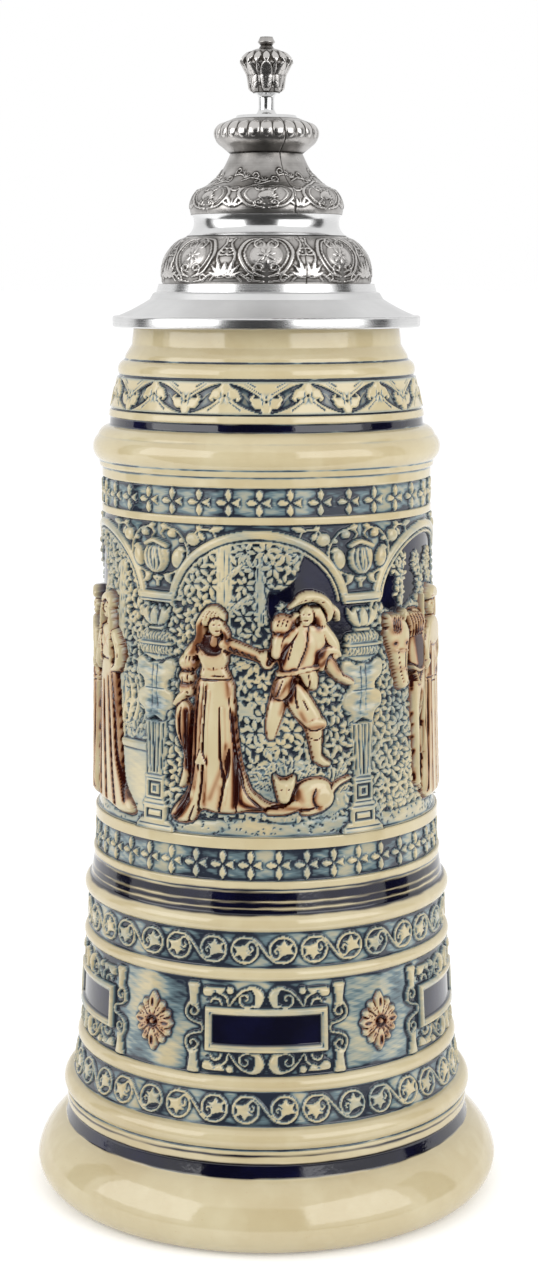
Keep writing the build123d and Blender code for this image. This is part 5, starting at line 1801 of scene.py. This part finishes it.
def make_thumblift(cast):
    """A shell-shaped lever with ribs, scrolled at both sides."""
    us = np.linspace(-10.4, 10.4, 105)
    vs = np.linspace(THUMB_FOOT_Z - 0.6, THUMB_TIP_Z + 0.6, 186)
    sides = []
    for _ in range(2):
        sheet = Relief(us, vs)
        body = both_sides([(-4.3, 352.6), (-4.4, 360.0), (-4.9, 365.0), (-7.8, 368.4), (-9.3, 373.0),
                           (-8.6, 378.6), (-6.4, 383.6), (-3.4, 387.4)], (388.8,))
        sheet.put(outline(body), 1.9, 1.5, 0.05)
        for k in range(-3, 4):
            sheet.put(stroke([(k * 0.5, 367.0, 0.45), (k * 1.5, 375.0, 0.8),
                              (k * 2.0, 384.0 - abs(k) * 1.5, 0.85)]), 2.5, 0.8, 1.5)
        for side in (-1, 1):
            sheet.put(spiral((side * 5.6, 369.0), 2.6, 1.1, 90, 0.7, side > 0), 2.6, 0.7, 1.5)
        sheet.put(oval((0.0, 366.6), 2.4, 2.0), 2.9, 1.6, 1.6)
        sheet.add(stroke([(0.0, 354.0, 0.5), (0.0, 363.4, 0.7)]), -0.5, 0.6)
        sides.append(sheet.height)
    u, v = np.meshgrid(us, vs)
    middle = (THUMB_FRONT_Y + THUMB_BACK_Y) / 2.0
    front = np.stack([u, middle - sides[0] * 0.85, v], axis=-1)
    back = np.stack([u, middle + sides[1] * 0.85, v], axis=-1)
    inside = sides[0] > 0.02
    index = -np.ones(inside.shape, int)
    used = inside[:-1, :-1] & inside[1:, :-1] & inside[:-1, 1:] & inside[1:, 1:]
    touched = np.zeros(inside.shape, bool)
    for down in (0, 1):
        for across in (0, 1):
            touched[down:down + used.shape[0], across:across + used.shape[1]] |= used
    index[touched] = np.arange(touched.sum())
    count = int(touched.sum())
    points = np.vstack([front[touched], back[touched]])
    faces, edges = [], {}
    for r, c in zip(*np.nonzero(used)):
        ring = (index[r, c], index[r, c + 1], index[r + 1, c + 1], index[r + 1, c])
        faces.append(ring)
        faces.append(tuple(q + count for q in ring[::-1]))
        for a, b in zip(ring, ring[1:] + ring[:1]):
            edges[(a, b)] = True
    for a, b in list(edges):
        if (b, a) not in edges:
            faces.append((b, a, a + count, b + count))
    mesh = bpy.data.meshes.new("shell_thumblift")
    mesh.from_pydata([tuple(p * MM) for p in points], [], faces)
    mesh.shade_smooth()
    low = (blurred(sides[0], 2, 2) - sides[0]) * 3.0
    wash = np.clip(low[touched], 0.0, 1.0)
    mesh.attributes.new("wash", "FLOAT",
                        "POINT").data.foreach_set("value", np.concatenate([wash, wash]).astype(np.float32))
    piece = bpy.data.objects.new("shell_thumblift", mesh)
    bpy.context.collection.objects.link(piece)
    finish_piece(piece, "lid", "thumblift", "polished_pewter", cast)


# ---- the handle --------------------------------------------------------------------------
HANDLE_CORNERS = ((55.0, 324.0), (126.0, 324.0), (110.0, 176.0), (61.0, 176.0))
HANDLE_BENDS = (36.0, 28.0)
HANDLE_HALF_WIDTH = 12.5
HANDLE_HALF_DEPTH = 8.5
HANDLE_STEP = 1.0


def handle_path():
    """Points (y, z) along the handle's centre line, with rounded bends, evenly spaced."""
    corners = [np.array(c) for c in HANDLE_CORNERS]
    line = [corners[0]]
    for before, corner, after, radius in zip(corners, corners[1:], corners[2:], HANDLE_BENDS):
        back = (before - corner) / np.linalg.norm(before - corner)
        on = (after - corner) / np.linalg.norm(after - corner)
        half = math.acos(float(back @ on)) / 2.0
        reach = radius / math.tan(half)
        middle = corner + (back + on) / np.linalg.norm(back + on) * radius / math.sin(half)
        first, last = corner + back * reach - middle, corner + on * reach - middle
        for t in np.linspace(0.0, 1.0, 24):
            away = first * (1.0 - t) + last * t
            line.append(middle + away / np.linalg.norm(away) * radius)
    line.append(corners[-1])
    line = np.array(line)
    walked = np.concatenate([[0.0], np.cumsum(np.linalg.norm(np.diff(line, axis=0), axis=1))])
    places = np.linspace(0.0, walked[-1], int(walked[-1] / HANDLE_STEP))
    return np.stack([np.interp(places, walked, line[:, 0]), np.interp(places, walked, line[:, 1])],
                    axis=-1), places


def make_handle(glaze):
    """An ear handle with a raised spine, side flutes and a leaf along its back."""
    path, walked = handle_path()
    ahead = np.gradient(path, axis=0)
    ahead /= np.linalg.norm(ahead, axis=1, keepdims=True)
    outwards = np.stack([-ahead[:, 1], ahead[:, 0]], axis=-1)
    around_it = np.linspace(0.0, TURN, 144, endpoint=False)
    across, depth = np.cos(around_it), np.sin(around_it)
    square = 0.82
    x = np.sign(across) * np.abs(across) ** square
    b = np.sign(depth) * np.abs(depth) ** square
    length = walked[-1]
    swell = 1.0 + 0.05 * np.cos(TURN * walked / length)
    sheet = Relief(np.where(around_it <= math.pi, x * HANDLE_HALF_WIDTH, 99.0), walked)
    for line_u, half, amount in ((0.0, 1.5, 0.8), (-4.6, 1.0, -0.9), (4.6, 1.0, -0.9), (-8.6, 0.7, -0.7),
                                 (8.6, 0.7, -0.7)):
        sheet.add(bar((line_u, 18.0), (line_u, length - 18.0), half), amount, half)
    for k in range(9):
        v = 42.0 + k * 11.0
        size = 1.0 - 0.05 * k
        for side in (-1, 1):
            sheet.put(leaf((side * 0.8, v), (side * 8.6 * size, v + 11.0), 2.5 * size), 1.1, 1.6, 0.1)
        sheet.put(oval((0.0, v), 1.6, 2.4), 1.3, 1.3, 0.3)
    flute = np.where(np.abs(depth) < 0.5, -0.8 * (1.0 - (np.abs(depth) / 0.5) ** 2), 0.0)
    height = sheet.height + flute[None, :]
    section_x = (HANDLE_HALF_WIDTH - 0.4) * x[None, :] * swell[:, None]
    section_b = (HANDLE_HALF_DEPTH - 0.4) * b[None, :] * swell[:, None]
    section_x = section_x + height * across[None, :]
    section_b = section_b + height * depth[None, :]
    y = path[:, :1] + outwards[:, :1] * section_b
    z = path[:, 1:] + outwards[:, 1:] * section_b
    points = np.stack([section_x, y, z], axis=-1)
    sunk = blurred(height, 2, 2) - height
    wash = np.clip(np.clip(sunk * 3.4, 0.0, 1.0) + 0.35 * (height < -0.5), 0.0, 1.0)
    blank = np.zeros_like(wash)
    points = points[:, ::-1]
    piece = shell("moulded_handle", points, grid_normals(points),
                  {"wash": wash[:, ::-1], "brown": blank, "cobalt": blank}, looped=False, capped=True)
    finish_piece(piece, "stein", "stoneware_handle", "glazed_stoneware", glaze)


# ---- the studio --------------------------------------------------------------------------
def plain_material(name, colour, roughness=0.6):
    n = Nodes(name)
    n.shader.inputs["Base Color"].default_value = colour
    n.shader.inputs["Roughness"].default_value = roughness
    return n.material


def floor():
    """A wide pale floor that melts into the white of the world behind it."""
    paper = plain_material("floor_paper", grey(0.88), 0.8)
    glow = paper.node_tree.nodes["Principled BSDF"]
    glow.inputs["Emission Color"].default_value = grey(1.0)
    glow.inputs["Emission Strength"].default_value = 0.16
    far = 60.0
    mesh = bpy.data.meshes.new("floor")
    mesh.from_pydata([(-far, -far, 0.0), (far, -far, 0.0), (far, far, 0.0), (-far, far, 0.0)], [],
                     [(0, 1, 2, 3)])
    mesh.materials.append(paper)
    made = bpy.data.objects.new("floor", mesh)
    bpy.context.collection.objects.link(made)


def softbox(name, at, aim, wide, high, power):
    """A soft rectangular lamp.  Mirror-like surfaces show a card in its place."""
    data = bpy.data.lights.new(name, "AREA")
    data.shape = "RECTANGLE"
    data.size, data.size_y = wide, high
    data.energy = power
    lamp = bpy.data.objects.new(name, data)
    lamp.location = at
    lamp.rotation_euler = (Vector(aim) - Vector(at)).to_track_quat("-Z", "Y").to_euler()
    lamp.visible_camera = False
    lamp.visible_glossy = False
    bpy.context.collection.objects.link(lamp)


def card(name, at, aim, wide, high, glow=0.0):
    """A black or a glowing card that only mirror-like surfaces show: the dark end of a studio,
    or the crisp face of a softbox."""
    mesh = bpy.data.meshes.new(name)
    x, y = wide / 2, high / 2
    mesh.from_pydata([(-x, -y, 0), (x, -y, 0), (x, y, 0), (-x, y, 0)], [], [(0, 1, 2, 3)])
    paper = plain_material(name, grey(0.02), 0.9)
    shader = paper.node_tree.nodes["Principled BSDF"]
    shader.inputs["Emission Color"].default_value = grey(1.0)
    shader.inputs["Emission Strength"].default_value = glow
    mesh.materials.append(paper)
    made = bpy.data.objects.new(name, mesh)
    made.location = at
    made.rotation_euler = (Vector(aim) - Vector(at)).to_track_quat("Z", "Y").to_euler()
    made.visible_camera = False
    made.visible_shadow = False
    made.visible_diffuse = False
    bpy.context.collection.objects.link(made)


def around(degrees, distance, height):
    """A place round the stein, by the angle from the front."""
    angle = math.radians(degrees)
    return (distance * math.sin(angle), -distance * math.cos(angle), height)


def studio():
    world = bpy.data.worlds.new("world")
    bpy.context.scene.world = world
    world.use_nodes = True
    world.node_tree.nodes["Background"].inputs["Color"].default_value = grey(1.0)
    world.node_tree.nodes["Background"].inputs["Strength"].default_value = 1.0
    floor()
    middle = (0.0, 0.0, 0.26)
    softbox("left_softbox", around(-67, 1.3, 0.62), middle, 1.40, 1.10, 10.5)
    softbox("right_softbox", around(51, 1.3, 0.62), middle, 1.40, 1.10, 11.5)
    # The faces of the two softboxes, as the glaze and the pewter mirror them.
    for name, angle, wide in (("left_window", -62, 1.32), ("right_window", 46, 1.27)):
        card(name, around(angle, 1.3, 0.74), (0.0, 0.0, 0.74), wide, 1.04, glow=3.0)
    # The dark ends of the studio, between the softboxes, and the dark floor in front.
    for name, angle, wide in (("flag_front", -8, 1.55), ("flag_left", -104, 0.42),
                              ("flag_right", 91, 0.58)):
        card(name, around(angle, 1.55, 0.60), (0.0, 0.0, 0.6), wide, 1.5)
    card("flag_low", (0.0, -0.86, 0.002), (0.0, -0.86, 1.0), 3.2, 1.40)
    bpy.context.scene.view_settings.view_transform = "Standard"


# ---- make everything ---------------------------------------------------------------------
def dress(node, material):
    """Gives a carried-over CAD node its material."""
    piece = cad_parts[node]
    piece.data.materials.clear()
    piece.data.materials.append(material)


make_camera()
studio()
GLAZE = glazed_stoneware()
CLAY = foot_clay()
POLISHED = turned_pewter("polished_pewter", 0.72, 0.14, 0.24)
FLANGE = turned_pewter("flange_pewter", 0.70, 0.18, 0.28, (0.0438, 0.0585))
SATIN = turned_pewter("satin_pewter", 0.62, 0.20, 0.36)
ANTIQUED = cast_pewter("antiqued_pewter")
make_jug(GLAZE, CLAY)
make_lid(ANTIQUED)
make_thumblift(ANTIQUED)
make_handle(GLAZE)
dress("lid_flange", FLANGE)
for cad_node in ("cove_ring", "finial_plate", "finial_post"):
    dress(cad_node, POLISHED)
for cad_node in ("handle_strap", "strap_riser", "hinge_pin", "hinge_cap_left", "hinge_cap_right",
                 "lid_shank"):
    dress(cad_node, SATIN)
